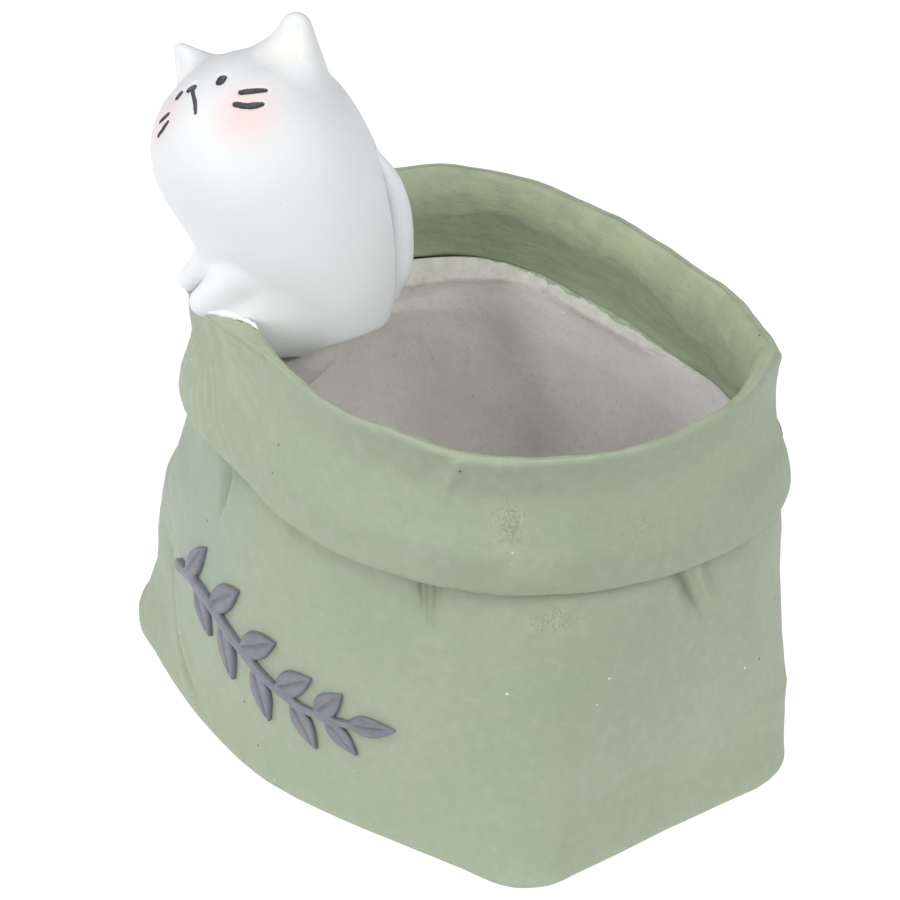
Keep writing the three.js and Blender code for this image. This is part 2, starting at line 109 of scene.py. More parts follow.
# ---------------------------------------------------------------- the sack's surfaces
HALF_LENGTH, HALF_DEPTH, BELLY = 60.7, 28.8, 16.0
CORNER_SHARP, CORNER_SOFT = 8, 24
CORNER_FADE = np.array([24.0, 14.0, 9.0, 24.0])
WALL_TOP, NECK_Z, BODY_WALL = 60.5, 51.0, 3.0
LINER_GAP, LINER_WALL, LEDGE_DROP, LEDGE_WIDTH, OVERHANG = 0.7, 3.5, 3.2, 3.6, 1.8
RIM_R = [62.6, 61.3, 57.5, 50.3, 44.2, 42.1, 41.9, 43.2, 47.3, 51.2, 52.4, 52.2, 51.4, 49.0, 45.6, 43.8, 42.1, 40.2, 39.5, 42.0, 46.7, 52.9, 59.2, 62.5]
RIM_Z = [77.0, 77.5, 77.8, 77.9, 77.9, 77.8, 77.8, 77.9, 78.0, 78.0, 77.8, 77.4, 76.9, 76.6, 76.6, 77.1, 77.8, 78.5, 78.8, 78.4, 77.5, 76.9, 76.5, 76.7]
CUFF_R = [63.3, 63.9, 61.6, 55.2, 48.6, 46.0, 45.4, 46.6, 50.4, 54.6, 56.4, 56.8, 56.5, 54.6, 50.6, 46.5, 44.0, 42.0, 42.0, 44.8, 49.3, 54.2, 59.5, 62.6]
CUFF_Z = [52.3, 52.4, 52.4, 52.2, 52.1, 52.1, 52.4, 52.7, 52.9, 52.8, 52.5, 52.3, 52.4, 53.0, 54.0, 55.0, 55.5, 55.3, 54.7, 53.7, 53.1, 52.7, 52.4, 52.3]
DRAIN_X, DRAIN_Y, DRAIN_R = 12.0, 3.0, 5.3


def base_r(a, k):
    c = np.maximum(np.abs(np.cos(a)), 1e-9)
    s = np.abs(np.sin(a))
    q = BELLY * c * c / HALF_LENGTH ** 2
    side = np.where(q > 1e-9, (-s + np.sqrt(s * s + 4 * q * (HALF_DEPTH + BELLY))) / (2 * np.maximum(q, 1e-12)), (HALF_DEPTH + BELLY) / np.maximum(s, 1e-9))
    return softmin(HALF_LENGTH / c, side, k)


def rim_r(a):
    return ring_table(RIM_R, a) + 0.85 * np.exp(-np.abs(wrap(np.degrees(a) - 28)) / 2.4) - 0.4 * hump(a, 36, 6)


def rim_z(a):
    return ring_table(RIM_Z, a) + 0.7 * hump(a, 28, 6) + 0.3 * hump(a, 60, 14) + 0.3 * hump(a, 95, 10) + 0.6 * hump(a, 142, 9) + 0.5 * hump(a, 312, 6) - 0.35 * hump(a, 325, 5)


def cuff_r(a):
    return ring_table(CUFF_R, a)


def cuff_z(a):
    return ring_table(CUFF_Z, a)


def neck_r(a):
    return cuff_r(a) - OVERHANG


def mouth_r(a):
    return np.minimum(rim_r(a) - 4, neck_r(a) - BODY_WALL - LINER_GAP - 0.4)


def body_r(a, z):
    soft = base_r(a, CORNER_SOFT)
    extra = base_r(a, CORNER_SHARP) - soft
    quadrant = np.floor((a / TAU) % 1 * 4).astype(int)
    w = np.clip(z / NECK_Z, 0, 1)
    flank = hump(a, 221, 22)
    lift = w ** (2.6 - 1.35 * flank)
    fade = np.exp(-np.maximum(z, 0) / CORNER_FADE[quadrant]) * (1 - lift)
    return soft * (1 - lift) + neck_r(a) * lift + extra * fade + 1.1 * np.sin(np.pi * w) * (1 - 0.5 * np.abs(np.cos(a))) * (1 - flank)


def ledge(a):
    return LEDGE_WIDTH - 1.9 * hump(a, 5, 26)


def liner_in(a, z):
    return np.minimum(body_r(a, z) - BODY_WALL - LINER_GAP - LINER_WALL, mouth_r(a) - ledge(a) + (WALL_TOP - LEDGE_DROP - z) * 0.35)


PLEAT_Z, PLEAT_AT = [40, 43.8, 46.7, 49, 51.8, 56], [257.0, 257.5, 258.2, 258.2, 258.0, 257.5]
PLEAT2_Z, PLEAT2_AT = [36, 38.8, 42.2, 46.3, 50.1, 55], [366.5, 365.4, 363.6, 361.8, 360.1, 358.4]
STREAKS = ((318.0, 44.0, 0.30, 0.40), (319.2, 41.0, 0.28, 0.45), (320.4, 41.5, 0.36, 0.40), (321.5, 45.5, 0.24, 0.35))
FOLD_AT, FOLD_Z = [214, 222, 224.5, 231, 238.3, 243, 246.3, 252], [22.5, 20.7, 20.0, 17.9, 15.8, 11.5, 8.8, 5.0]
BASE_AT = [0, 4, 12, 18, 22, 30, 198, 204, 208, 211, 214.5, 218, 224.4, 233, 241.7, 249.9, 257, 264, 270.5, 280, 289, 296, 304, 312, 320, 325, 329, 332, 337, 341, 350, 358, 360]
BASE_OUT = [0.35, 0.5, 0.6, 0.9, 0.2, 0, 0, -0.5, -0.9, -0.5, 0.1, 0.3, -0.67, -0.78, -0.63, -0.3, -0.07, 0.27, 0.68, 0.95, 0.6, 0.1, -0.4, -0.8, -0.75, -0.25, 0.9, 1.2, 1.0, 0.6, 0.65, 0.4, 0.35]


def sack_features(a, z):
    """Radial dents, creases and lumps of the green belly, mm."""
    deg = np.degrees(a) % 360
    r = body_r(a, z)
    P = np.stack([r * np.cos(a), r * np.sin(a), z], -1)
    d = 0.28 * noise(P, 19, 3) + 0.07 * noise(P, 8, 4) + 0.04 * noise(P, 3, 5)
    # the left flank is a little slack, the right end a little full
    d = d + np.interp(z, [3, 6, 10, 15, 19, 23, 27, 31, 35, 39, 43, 47, 51, 54], [0, -0.6, -1.7, -2.3, -2.7, -2.5, -1.3, -0.1, 0.4, 0, -1.2, -1.9, -1.7, -1.2]) * hump(a, 222, 16)
    d = d + np.interp(z, [2, 4, 8, 12, 14, 16, 18, 21, 25, 30, 31.5, 33, 36, 40, 44, 50, 54], [-0.6, -0.8, -0.7, -0.9, -0.5, -0.1, 0.5, 0.7, 0.6, 0.2, -0.4, -1.2, -1.2, -1.1, -0.9, -0.5, 0]) * hump(a, 207, 9)
    d = d + np.interp(z, [4, 10, 15.6, 19, 25, 31, 37, 45, 51], [0, 0.4, 0.9, 0.4, -0.1, -0.3, -0.45, 0.1, 0]) * hump(a, 28, 12)
    d = d + 0.3 * np.exp(-np.abs(wrap(deg - 29)) / 3.5) * smooth(z, 6, 20)
    # pleat under the cuff, front left: a steep right side and a long slope to the left
    u = np.interp(z, PLEAT_Z, PLEAT_AT) - deg
    wide = np.interp(z, [43, 46, 49, 52, 56], [1.6, 3.4, 6.0, 9.0, 12.0])
    d = d - 2.7 * smooth(z, 42.0, 51) * smooth(u, -0.6, 0.6) * (1 - smooth(u, 0.6, wide))
    d = d + 0.45 * smooth(z, 42, 49) * np.exp(-((u + 2.0) / 1.4) ** 2)
    # brushed hollow under the cuff, front middle
    d = d - 0.75 * smooth(z, 40, 50) * hump(a, 319.8, 2.4)
    for at, low, deep, wide in STREAKS:
        mid = 319.7 + (at - 319.7) * np.clip((z - 37) / 14, 0.3, 1.1)
        d = d - 0.9 * deep * smooth(z, low, low + 6) * np.exp(-(wrap(deg - mid) / wide) ** 2)
    d = d + 0.25 * smooth(z, 42, 49) * (hump(a, 314.8, 2.2) + hump(a, 324.3, 2.2))
    # pleat at the right
    u = wrap(deg - np.interp(z, PLEAT2_Z, PLEAT2_AT))
    win = smooth(z, 36.5, 47)
    d = d - 1.3 * win * np.exp(-((u + 0.1) / np.where(u < -0.1, 1.5, 0.35)) ** 2) + 0.9 * win * np.exp(-((u - 2.2) / 1.2) ** 2) - 0.5 * win * np.exp(-((u - np.interp(z, [38, 47, 52], [1.6, 3.9, 4.9])) / 0.8) ** 2)
    # fold that bounds the flap of the left base corner
    win = smooth(deg, 213, 222) * (1 - smooth(deg, 246, 256))
    v = z - np.interp(deg, FOLD_AT, FOLD_Z)
    d = d + win * (-0.8 * np.exp(-(v / 1.5) ** 2) + 0.6 * np.exp(-((v - 3.4) / 2.2) ** 2) + 0.3 * np.exp(-((v + 3.5) / 2.2) ** 2))
    # the base outline is not quite even
    uneven = np.interp(deg, BASE_AT, BASE_OUT)
    return d * smooth(z, 0.3, 5) + uneven * np.exp(-np.maximum(z, 0) / 11)


def skin_r(a, z):
    return body_r(a, z) + sack_features(a, z)


# ---------------------------------------------------------------- making pieces
def piece(name, V, F, body, slot, replaces=(), attributes=None):
    V = np.asarray(V, float)
    F = np.asarray(F, int)
    p = V[F]
    volume = 0
    for k in range(1, F.shape[1] - 1):
        volume += np.einsum("ij,ij->i", p[:, 0], np.cross(p[:, k], p[:, k + 1])).sum()
    if volume < 0:
        F = F[:, ::-1]
    mesh = bpy.data.meshes.new(name)
    mesh.from_pydata((V * MM).tolist(), [], F.tolist())
    mesh.polygons.foreach_set("use_smooth", np.ones(len(F), bool))
    for key, value in (attributes or {}).items():
        mesh.attributes.new(key, "FLOAT", "POINT").data.foreach_set("value", np.asarray(value, np.float32).ravel())
    mesh.update()
    obj = bpy.data.objects.new(name, mesh)
    bpy.context.scene.collection.objects.link(obj)
    obj.data.materials.append(MATERIALS[slot])
    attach(obj, body)
    if replaces:
        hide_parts(*replaces)
    return obj


def torus_faces(m, n):
    i = np.arange(m)[:, None]
    j = np.arange(n)[None, :]
    return np.stack(np.broadcast_arrays(i * n + j, i * n + (j + 1) % n, (i + 1) % m * n + (j + 1) % n, (i + 1) % m * n + j), -1).reshape(-1, 4)


def spread(n, weights):
    """n angles round the sack, closer together where the weights are high."""
    deg = np.linspace(0, 360, 3601)
    w = np.ones_like(deg)
    for at, width, gain in weights:
        w = w + gain * np.exp(-(wrap(deg - at) / width) ** 2)
    c = np.concatenate([[0], np.cumsum((w[1:] + w[:-1]) / 2)])
    return np.radians(np.interp(np.arange(n) / n * c[-1], c, deg))


def polar(a, r, z):
    r, z = np.broadcast_arrays(r, z)
    return np.stack([r * np.cos(a), r * np.sin(a), z], -1)


def hole_ring(a, z, r=DRAIN_R):
    return np.stack([DRAIN_X + r * np.cos(a), DRAIN_Y + r * np.sin(a), np.full_like(a, z)], -1)


def normals_of(P):
    du = np.roll(P, -1, 1) - np.roll(P, 1, 1)
    dv = np.gradient(P, axis=0)
    n = np.cross(du, dv)
    return n / np.maximum(np.linalg.norm(n, axis=-1, keepdims=True), 1e-9)


# ---------------------------------------------------------------- materials
class Graph:
    def __init__(self, name):
        self.material = bpy.data.materials.new(name)
        self.material.use_nodes = True
        self.tree = self.material.node_tree
        self.tree.nodes.clear()
        self.out = self.tree.nodes.new("ShaderNodeOutputMaterial")
        self.bsdf = self.tree.nodes.new("ShaderNodeBsdfPrincipled")
        self.tree.links.new(self.bsdf.outputs[0], self.out.inputs[0])
        self.coord = self.tree.nodes.new("ShaderNodeTexCoord").outputs["Object"]

    def put(self, socket, value):
        if isinstance(value, bpy.types.NodeSocket):
            self.tree.links.new(value, socket)
        elif isinstance(value, (tuple, list)):
            socket.default_value = (*value, 1.0) if len(value) == 3 and len(socket.default_value) == 4 else value
        else:
            socket.default_value = value

    def stretch(self, x, y, z, turn=(0, 0, 0)):
        n = self.tree.nodes.new("ShaderNodeMapping")
        self.put(n.inputs["Vector"], self.coord)
        n.inputs["Scale"].default_value = (x, y, z)
        n.inputs["Rotation"].default_value = turn
        return n.outputs[0]

    def noise(self, scale, detail=2.0, rough=0.5, vector=None):
        n = self.tree.nodes.new("ShaderNodeTexNoise")
        self.put(n.inputs["Vector"], vector or self.coord)
        n.inputs["Scale"].default_value = scale
        n.inputs["Detail"].default_value = detail
        n.inputs["Roughness"].default_value = rough
        return n.outputs[0]

    def dots(self, scale, radius, share, shift):
        """Small round specks, on the given share of the cells."""
        m = self.tree.nodes.new("ShaderNodeMapping")
        self.put(m.inputs["Vector"], self.coord)
        m.inputs["Location"].default_value = shift
        n = self.tree.nodes.new("ShaderNodeTexVoronoi")
        self.put(n.inputs["Vector"], m.outputs[0])
        n.inputs["Scale"].default_value = scale
        near = self.remap(n.outputs["Distance"], radius, radius * 0.55)
        split = self.tree.nodes.new("ShaderNodeSeparateColor")
        self.put(split.inputs[0], n.outputs["Color"])
        return self.maths("MULTIPLY", near, self.maths("GREATER_THAN", split.outputs[0], 1 - share))

    def remap(self, value, a, b, lo=0.0, hi=1.0):
        n = self.tree.nodes.new("ShaderNodeMapRange")
        n.clamp = True
        self.put(n.inputs[0], value)
        for i, v in enumerate((a, b, lo, hi), 1):
            n.inputs[i].default_value = v
        return n.outputs[0]

    def maths(self, op, a, b=0.0):
        n = self.tree.nodes.new("ShaderNodeMath")
        n.operation = op
        self.put(n.inputs[0], a)
        self.put(n.inputs[1], b)
        return n.outputs[0]

    def mix(self, factor, a, b, mode="MIX"):
        n = self.tree.nodes.new("ShaderNodeMix")
        n.data_type = "RGBA"
        n.blend_type = mode
        self.put(n.inputs[0], factor)
        self.put(n.inputs[6], a)
        self.put(n.inputs[7], b)
        return n.outputs[2]

    def attribute(self, name):
        n = self.tree.nodes.new("ShaderNodeAttribute")
        n.attribute_name = name
        return n.outputs["Fac"]

    def bump(self, height, strength, distance):
        n = self.tree.nodes.new("ShaderNodeBump")
        n.inputs["Strength"].default_value = strength
        n.inputs["Distance"].default_value = distance
        self.put(n.inputs["Height"], height)
        self.put(self.bsdf.inputs["Normal"], n.outputs[0])

    def finish(self, colour, roughness, specular=0.4, coat=0.0):
        self.put(self.bsdf.inputs["Base Color"], colour)
        self.put(self.bsdf.inputs["Roughness"], roughness)
        self.bsdf.inputs["Specular IOR Level"].default_value = specular
        self.bsdf.inputs["Coat Weight"].default_value = coat
        self.bsdf.inputs["Coat Roughness"].default_value = 0.25
        return self.material


def sage_paint():
    g = Graph("sage_paint")
    cloud = g.noise(38, 3, 0.55)
    fine = g.noise(520, 3, 0.6)
    brush = g.noise(170, 2, 0.5, g.stretch(1, 1, 0.22, (0.3, 0.2, 0)))
    mottle = g.noise(240, 4, 0.65, g.stretch(1, 1, 0.6, (0.2, 0.4, 0.1)))
    c = g.mix(g.remap(cloud, 0.35, 0.65), (0.319, 0.380, 0.282), (0.331, 0.390, 0.294))
    c = g.mix(g.maths("MULTIPLY", g.remap(mottle, 0.50, 0.70), 0.12), c, (0.280, 0.338, 0.250))
    c = g.mix(g.maths("MULTIPLY", g.remap(brush, 0.50, 0.70), 0.12), c, (0.395, 0.450, 0.358))
    c = g.mix(g.maths("MULTIPLY", g.remap(fine, 0.52, 0.72), 0.30), c, (0.268, 0.325, 0.236))
    c = g.mix(g.maths("MULTIPLY", g.remap(fine, 0.46, 0.30), 0.30), c, (0.405, 0.460, 0.375))
    # inside of the cuff: yellower and patchy
    inside = g.attribute("inside")
    c = g.mix(g.maths("MULTIPLY", inside, g.remap(g.noise(90, 3, 0.6), 0.3, 0.7, 0.25, 0.75)), c, (0.318, 0.370, 0.233))
    streak = g.noise(430, 4, 0.7, g.stretch(0.22, 0.5, 1.0, (0.0, 0.35, 0.2)))
    c = g.mix(g.maths("MULTIPLY", g.maths("MULTIPLY", inside, g.remap(streak, 0.53, 0.70)), 0.45), c, (0.43, 0.48, 0.335))
    c = g.mix(g.maths("MULTIPLY", g.maths("MULTIPLY", inside, g.remap(streak, 0.47, 0.32)), 0.40), c, (0.205, 0.255, 0.155))
    # painted cool reflection on the slack left flank: a cooler, lighter tint
    c = g.mix(g.maths("MULTIPLY", g.attribute("painted_cool_reflection"), g.remap(mottle, 0.3, 0.7, 0.28, 0.42)), c, (0.300, 0.385, 0.335))
    # rubbed edges, with painted highlights on crests, ridges and the left of the cuff
    wear_and_highlight = g.maths("MULTIPLY", g.attribute("wear_and_highlight"), g.remap(g.noise(140, 3, 0.6), 0.32, 0.62, 0.15, 1.0))
    c = g.mix(g.maths("MULTIPLY", wear_and_highlight, 0.55), c, (0.475, 0.51, 0.345))
    # painted shade in creases, pleats and under the cuff, with some darker brush strokes and scuffs
    c = g.mix(g.maths("MULTIPLY", g.attribute("shade_and_grime"), 0.6), c, (0.175, 0.22, 0.135))
    # scuffed patch
    scratch = g.noise(3600, 2, 0.6, g.stretch(1.0, 1.0, 0.5, (0.45, 0.35, 0.0)))
    mild = g.maths("MULTIPLY", g.maths("SUBTRACT", g.attribute("scuff"), 1.0), 0.26)
    scuff = g.remap(g.maths("ADD", scratch, mild), 0.49, 0.56)
    pale = g.remap(g.maths("ADD", scratch, mild), 0.46, 0.40)
    pale = g.maths("MULTIPLY", pale, g.attribute("scuff"))
    c = g.mix(g.maths("MULTIPLY", pale, 0.25), c, (0.52, 0.55, 0.40))
    c = g.mix(g.maths("MULTIPLY", scuff, 0.4), c, (0.225, 0.265, 0.165))
    # warm lighter patches, and a painted highlight along the top of the cuff's inner face
    warm_tint_and_highlight = g.maths("MULTIPLY", g.attribute("warm_tint_and_highlight"), g.remap(g.noise(230, 3, 0.6), 0.35, 0.65))
    c = g.mix(g.maths("MULTIPLY", warm_tint_and_highlight, 0.4), c, (0.50, 0.53, 0.33))
    # pinholes and dust
    c = g.mix(g.dots(300, 0.085, 0.12, (0.3, 0.1, 0.7)), c, (0.10, 0.12, 0.08))
    c = g.mix(g.dots(280, 0.075, 0.08, (1.3, 2.1, 0.2)), c, (0.74, 0.78, 0.70))
    height = g.maths("SUBTRACT", g.maths("ADD", g.maths("MULTIPLY", fine, 0.6), g.maths("MULTIPLY", brush, 0.7)), g.maths("MULTIPLY", scuff, 0.2))
    g.bump(g.maths("ADD", height, g.maths("MULTIPLY", g.maths("MULTIPLY", inside, streak), 1.3)), 0.55, 0.0004)
    return g.finish(c, g.remap(cloud, 0.3, 0.7, 0.50, 0.60), 0.38)


def grey_lining():
    g = Graph("grey_lining")
    cloud = g.noise(60, 4, 0.6)
    fine = g.noise(700, 3, 0.65)
    c = g.mix(g.remap(cloud, 0.3, 0.7), (0.735, 0.71, 0.685), (0.845, 0.82, 0.795))
    c = g.mix(g.maths("MULTIPLY", g.remap(g.noise(26, 2), 0.45, 0.7), 0.5), c, (0.84, 0.825, 0.805))
    c = g.mix(g.maths("MULTIPLY", g.remap(fine, 0.55, 0.8), 0.45), c, (0.56, 0.54, 0.52))
    c = g.mix(g.dots(320, 0.08, 0.20, (0.2, 0.7, 0.1)), c, (0.42, 0.41, 0.39))
    lump = g.dots(260, 0.11, 0.35, (0.6, 0.1, 0.4))
    c = g.mix(g.maths("MULTIPLY", lump, 0.5), c, (0.90, 0.89, 0.87))
    # chalky raw edge, and paint that ran over it from above
    rag = g.maths("MULTIPLY", g.maths("SUBTRACT", g.noise(260, 4, 0.65), 0.5), 1.5)
    chalk = g.remap(g.maths("ADD", g.attribute("chalk"), rag), 0.44, 0.56)
    pale = g.mix(g.remap(g.noise(330, 4, 0.7), 0.35, 0.7), (0.60, 0.587, 0.53), (0.75, 0.74, 0.695))
    c = g.mix(chalk, c, pale)
    rag2 = g.maths("MULTIPLY", g.maths("SUBTRACT", g.noise(190, 4, 0.7), 0.5), 1.9)
    run = g.remap(g.maths("ADD", g.attribute("run"), rag2), 0.46, 0.54)
    c = g.mix(run, c, g.mix(g.remap(g.noise(420, 3, 0.6), 0.4, 0.6), (0.30, 0.385, 0.265), (0.40, 0.51, 0.365)))
    # painted shade in the liner's valley, on the ledge under the cat and on the seat pad
    c = g.mix(g.maths("MULTIPLY", g.attribute("shade_and_grime"), 0.6), c, (0.20, 0.19, 0.175))
    g.bump(g.maths("ADD", g.maths("MULTIPLY", lump, 0.8), g.maths("ADD", fine, g.maths("MULTIPLY", g.noise(300, 3, 0.6), 1.5))), 0.45, 0.0003)
    return g.finish(c, 0.72, 0.3)


def white_paint():
    g = Graph("white_paint")
    cloud = g.noise(55, 3, 0.55)
    c = g.mix(g.remap(cloud, 0.3, 0.7), (0.765, 0.788, 0.812), (0.800, 0.820, 0.840))
    # painted light: the lower body painted lighter for fill light from below, the top painted darker against the
    # highlight
    painted_fill_and_shade = g.attribute("painted_fill_and_shade")
    c = g.mix(g.remap(painted_fill_and_shade, 0.0, 1.0), c, (0.868, 0.890, 0.908))
    c = g.mix(g.remap(painted_fill_and_shade, 0.0, -1.0), c, (0.715, 0.732, 0.745))
    soft = g.maths("ADD", g.attribute("blush"), g.maths("MULTIPLY", g.maths("SUBTRACT", g.noise(420, 3, 0.65), 0.5), 0.12))
    c = g.mix(g.remap(soft, 0.04, 1.0, 0.0, 0.58), c, (0.90, 0.55, 0.50))
    c = g.mix(g.maths("MULTIPLY", g.attribute("cream"), 0.6), c, (0.86, 0.82, 0.74))
    # painted shade where the tail meets the back, and darker towards the tail's lower end
    c = g.mix(g.maths("MULTIPLY", g.attribute("shade_and_grime"), 0.5), c, (0.50, 0.51, 0.53))
    c = g.mix(g.dots(300, 0.06, 0.06, (0.5, 0.2, 0.9)), c, (0.55, 0.55, 0.55))
    g.bump(g.maths("ADD", g.noise(600, 3, 0.6), g.noise(260, 3, 0.6, g.stretch(1, 1, 0.3))), 0.30, 0.0003)
    return g.finish(c, g.remap(cloud, 0.3, 0.7, 0.42, 0.52), 0.42)


def face_paint():
    g = Graph("face_paint")
    c = g.mix(g.attribute("pool"), (0.045, 0.045, 0.058), (0.115, 0.115, 0.14))
    c = g.mix(g.maths("MULTIPLY", g.remap(g.noise(900, 3, 0.6), 0.5, 0.75), 0.4), c, (0.16, 0.16, 0.18))
    g.bump(g.noise(1100, 2, 0.5), 0.2, 0.0001)
    return g.finish(c, 0.36, 0.5)


def relief_paint():
    g = Graph("relief_paint")
    c = g.mix(g.remap(g.noise(220, 3, 0.6), 0.35, 0.7), (0.150, 0.155, 0.182), (0.190, 0.195, 0.225))
    # raised tops lighter: rubbed paint and a painted highlight
    c = g.mix(g.maths("MULTIPLY", g.attribute("wear_and_highlight"), g.remap(g.noise(500, 3, 0.6), 0.4, 0.7, 0.2, 0.7)), c, (0.25, 0.26, 0.285))
    g.bump(g.noise(750, 3, 0.6), 0.25, 0.0002)
    return g.finish(c, 0.42, 0.45)


def stopper_rubber():
    g = Graph("stopper_rubber")
    c = g.mix(g.remap(g.noise(300, 3, 0.6), 0.35, 0.7), (0.060, 0.060, 0.058), (0.085, 0.085, 0.082))
    g.bump(g.noise(1200, 2, 0.5), 0.2, 0.0002)
    return g.finish(c, 0.75, 0.3)


MATERIALS = {f.__name__: f() for f in (sage_paint, grey_lining, white_paint, face_paint, relief_paint, stopper_rubber)}

# ---------------------------------------------------------------- outer sack
A = spread(720, [(300, 75, 1.0), (319.3, 4, 4.0), (258, 6, 2.5), (1, 6, 2.0), (216.6, 5, 1.5), (333, 6, 1.5), (28, 6, 1.0)])
ZERO = np.zeros_like(A)


def tuck(a):
    """How far the hidden wall top steps back behind the pinched left corner of the cuff."""
    return 3.1 * hump(a, 209, 10) + 0.6 * hump(a, 218.5, 6)


def sack():
    rings, zs = [], []
    neck, back = neck_r(A), tuck(A)

    def put(P, shade_and_grime=0.0):
        rings.append(P)
        zs.append(np.broadcast_to(shade_and_grime, A.shape))

    foot = polar(A, skin_r(A, ZERO) - 1.7, 0.0)
    for t in (0.0, 0.03, 0.15, 0.35, 0.6, 0.82, 0.96):
        put((1 - t) * hole_ring(A, 0.0) + t * foot)
    for k in range(6):
        th = k / 5 * math.pi / 2
        z = ZERO + 1.7 * (1 - math.cos(th))
        put(polar(A, skin_r(A, z) - 1.7 * (1 - math.sin(th)), z))
    levels = np.concatenate([np.linspace(2.2, 40, 66), np.linspace(40.4, 56, 42)])
    for z in levels:
        zz = ZERO + z
        # painted shade just under the cuff's edge
        near = np.exp(-((cuff_z(A) + 0.2 - z) / 0.7) ** 2) * 0.9 * (z > 40)
        top = smooth(z, 51, 56)
        # above the cuff's edge the wall stays inside the cuff
        r = skin_r(A, zz)
        r = r * (1 - top) + np.minimum(r, neck) * top - back * smooth(z, 54.8, 57.5)
        put(polar(A, r, zz), near)
    put(polar(A, neck - back, 58.0))
    put(polar(A, neck - back, 60.3))
    put(polar(A, neck - back - 0.3, WALL_TOP))
    put(polar(A, neck - np.maximum(2.7, back + 0.5), WALL_TOP))
    put(polar(A, neck - np.maximum(BODY_WALL, back + 0.6), 60.2))
    for z in (51.0, 43, 32, 20, 11):
        put(polar(A, body_r(A, ZERO + z) - BODY_WALL, z))
    put(polar(A, body_r(A, ZERO + 6) - BODY_WALL - 1.2, 6.0))
    top = polar(A, body_r(A, ZERO + 3.5) - BODY_WALL - 4, 3.5)
    for t in (1.0, 0.6, 0.2, 0.0):
        put((1 - t) * hole_ring(A, 3.5) + t * top)
    P = np.stack(rings)
    shade_and_grime = np.stack(zs)
    deg = np.degrees(A)[None, :] % 360
    z = P[..., 2]
    outer = np.zeros(z.shape)
    outer[7:15 + len(levels)] = 1
    # painted shade in the left pleat, the brushed hollow and its streaks, the right pleat and the corner fold
    u = np.interp(z, PLEAT_Z, PLEAT_AT) - deg
    shade_and_grime = shade_and_grime + 0.62 * smooth(z, 42.0, 47) * smooth(u, -0.5, 0.1) * (1 - smooth(u, 0.4, np.interp(z, [42, 47, 52], [1.6, 5.0, 8.0])))
    shade_and_grime = shade_and_grime + 0.16 * smooth(z, 40, 50) * np.exp(-(wrap(deg - 319.7) / 2.2) ** 2)
    for at, low, deep, wide in STREAKS:
        mid = 319.7 + (at - 319.7) * np.clip((z - 37) / 14, 0.3, 1.1)
        shade_and_grime = shade_and_grime + 1.7 * deep * smooth(z, low, low + 7) * np.exp(-(wrap(deg - mid) / wide) ** 2) * np.clip(0.75 + noise(P * np.array([1, 1, 0.25]), 0.8, 48), 0.3, 1.4)
    u = wrap(deg - np.interp(z, PLEAT2_Z, PLEAT2_AT))
    shade_and_grime = shade_and_grime + smooth(z, 38, 47) * (0.6 * np.exp(-((u + 0.1) / np.where(u < -0.1, 0.5, 0.3)) ** 2) + 0.12 * np.exp(-((u + 1.0) / 1.2) ** 2) + 0.08 * np.exp(-((u - np.interp(z, [38, 47, 52], [1.6, 3.9, 4.9])) / 0.5) ** 2))
    zc = np.interp(deg, FOLD_AT, FOLD_Z)
    fold = smooth(deg, 213, 222) * (1 - smooth(deg, 246, 256))
    shade_and_grime = shade_and_grime + 0.3 * fold * np.exp(-((z - zc) / np.where(z < zc, 2.2, 0.8)) ** 2)
    # rubbed base edge, and painted highlights on the corner fold's ridge, the right pleat's ridge and the right corner
    wear_and_highlight = 0.4 * np.exp(-((z - 1.0) / 1.3) ** 2) + 0.55 * fold * np.exp(-((z - zc - 2.6) / 1.6) ** 2)
    wear_and_highlight = wear_and_highlight + 0.5 * smooth(z, 38, 46) * np.exp(-((u - 2.6) / 1.2) ** 2) + 0.3 * np.exp(-np.abs(wrap(deg - 29)) / 2.0)
    # darker towards the base; painted shade under the cuff as a patchy brushed band and a thin line; a painted cool
    # reflection on the left flank; and a scratched patch
    shade_and_grime = shade_and_grime + 0.32 * (1 - smooth(z, 3, 22))
    below = cuff_z(A)[None, :] - z
    patchy = np.clip(noise(P * np.array([1, 1, 0.7]), 4.5, 6) + 0.25, 0, 1)
    shade_and_grime = shade_and_grime + 0.45 * patchy * np.exp(-((below - 0.5) / 3.0) ** 2) * (0.35 + np.exp(-((deg - 282) / 16) ** 2) + 1.5 * np.exp(-(wrap(deg - 11) / 6) ** 2))
    line = np.exp(-((below - 2.6 - 1.6 * np.exp(-((deg - 234) / 12) ** 2)) / 1.2) ** 2) * np.clip(0.85 + 0.5 * noise(P, 3, 50), 0.3, 1.2)
    shade_and_grime = shade_and_grime + line * (0.34 * smooth(deg, 216, 226) * (1 - smooth(deg, 290, 312)) + 0.45 * np.exp(-((deg - 266) / 8) ** 2))
    painted_cool_reflection = smooth(deg, 205, 222) * (1 - smooth(deg, 255, 275)) * smooth(z, 12, 30)
    scuff = 0.85 * np.exp(-((deg - 338.5) / 5.0) ** 2 - ((z - 47.3) / 2.6) ** 2)
    wear_and_highlight = wear_and_highlight + 0.3 * np.clip(0.4 + noise(P * np.array([1, 1, 0.4]), 4, 49), 0, 1) * np.exp(-(wrap(deg - 21) / 6) ** 2 - ((z - 36) / 12) ** 2)
    wear_and_highlight = wear_and_highlight + 1.2 * np.exp(-((deg - 339.8) / 0.8) ** 2 - ((z - 45.2) / 0.3) ** 2)
    keep = outer
    piece("sack_skin", P.reshape(-1, 3), torus_faces(*P.shape[:2]), "pot", "sage_paint", ["sack_body"],
          {"shade_and_grime": shade_and_grime * keep, "wear_and_highlight": wear_and_highlight * keep, "inside": 0 * z, "scuff": scuff * keep, "warm_tint_and_highlight": 0 * z, "painted_cool_reflection": painted_cool_reflection * keep})


sack()


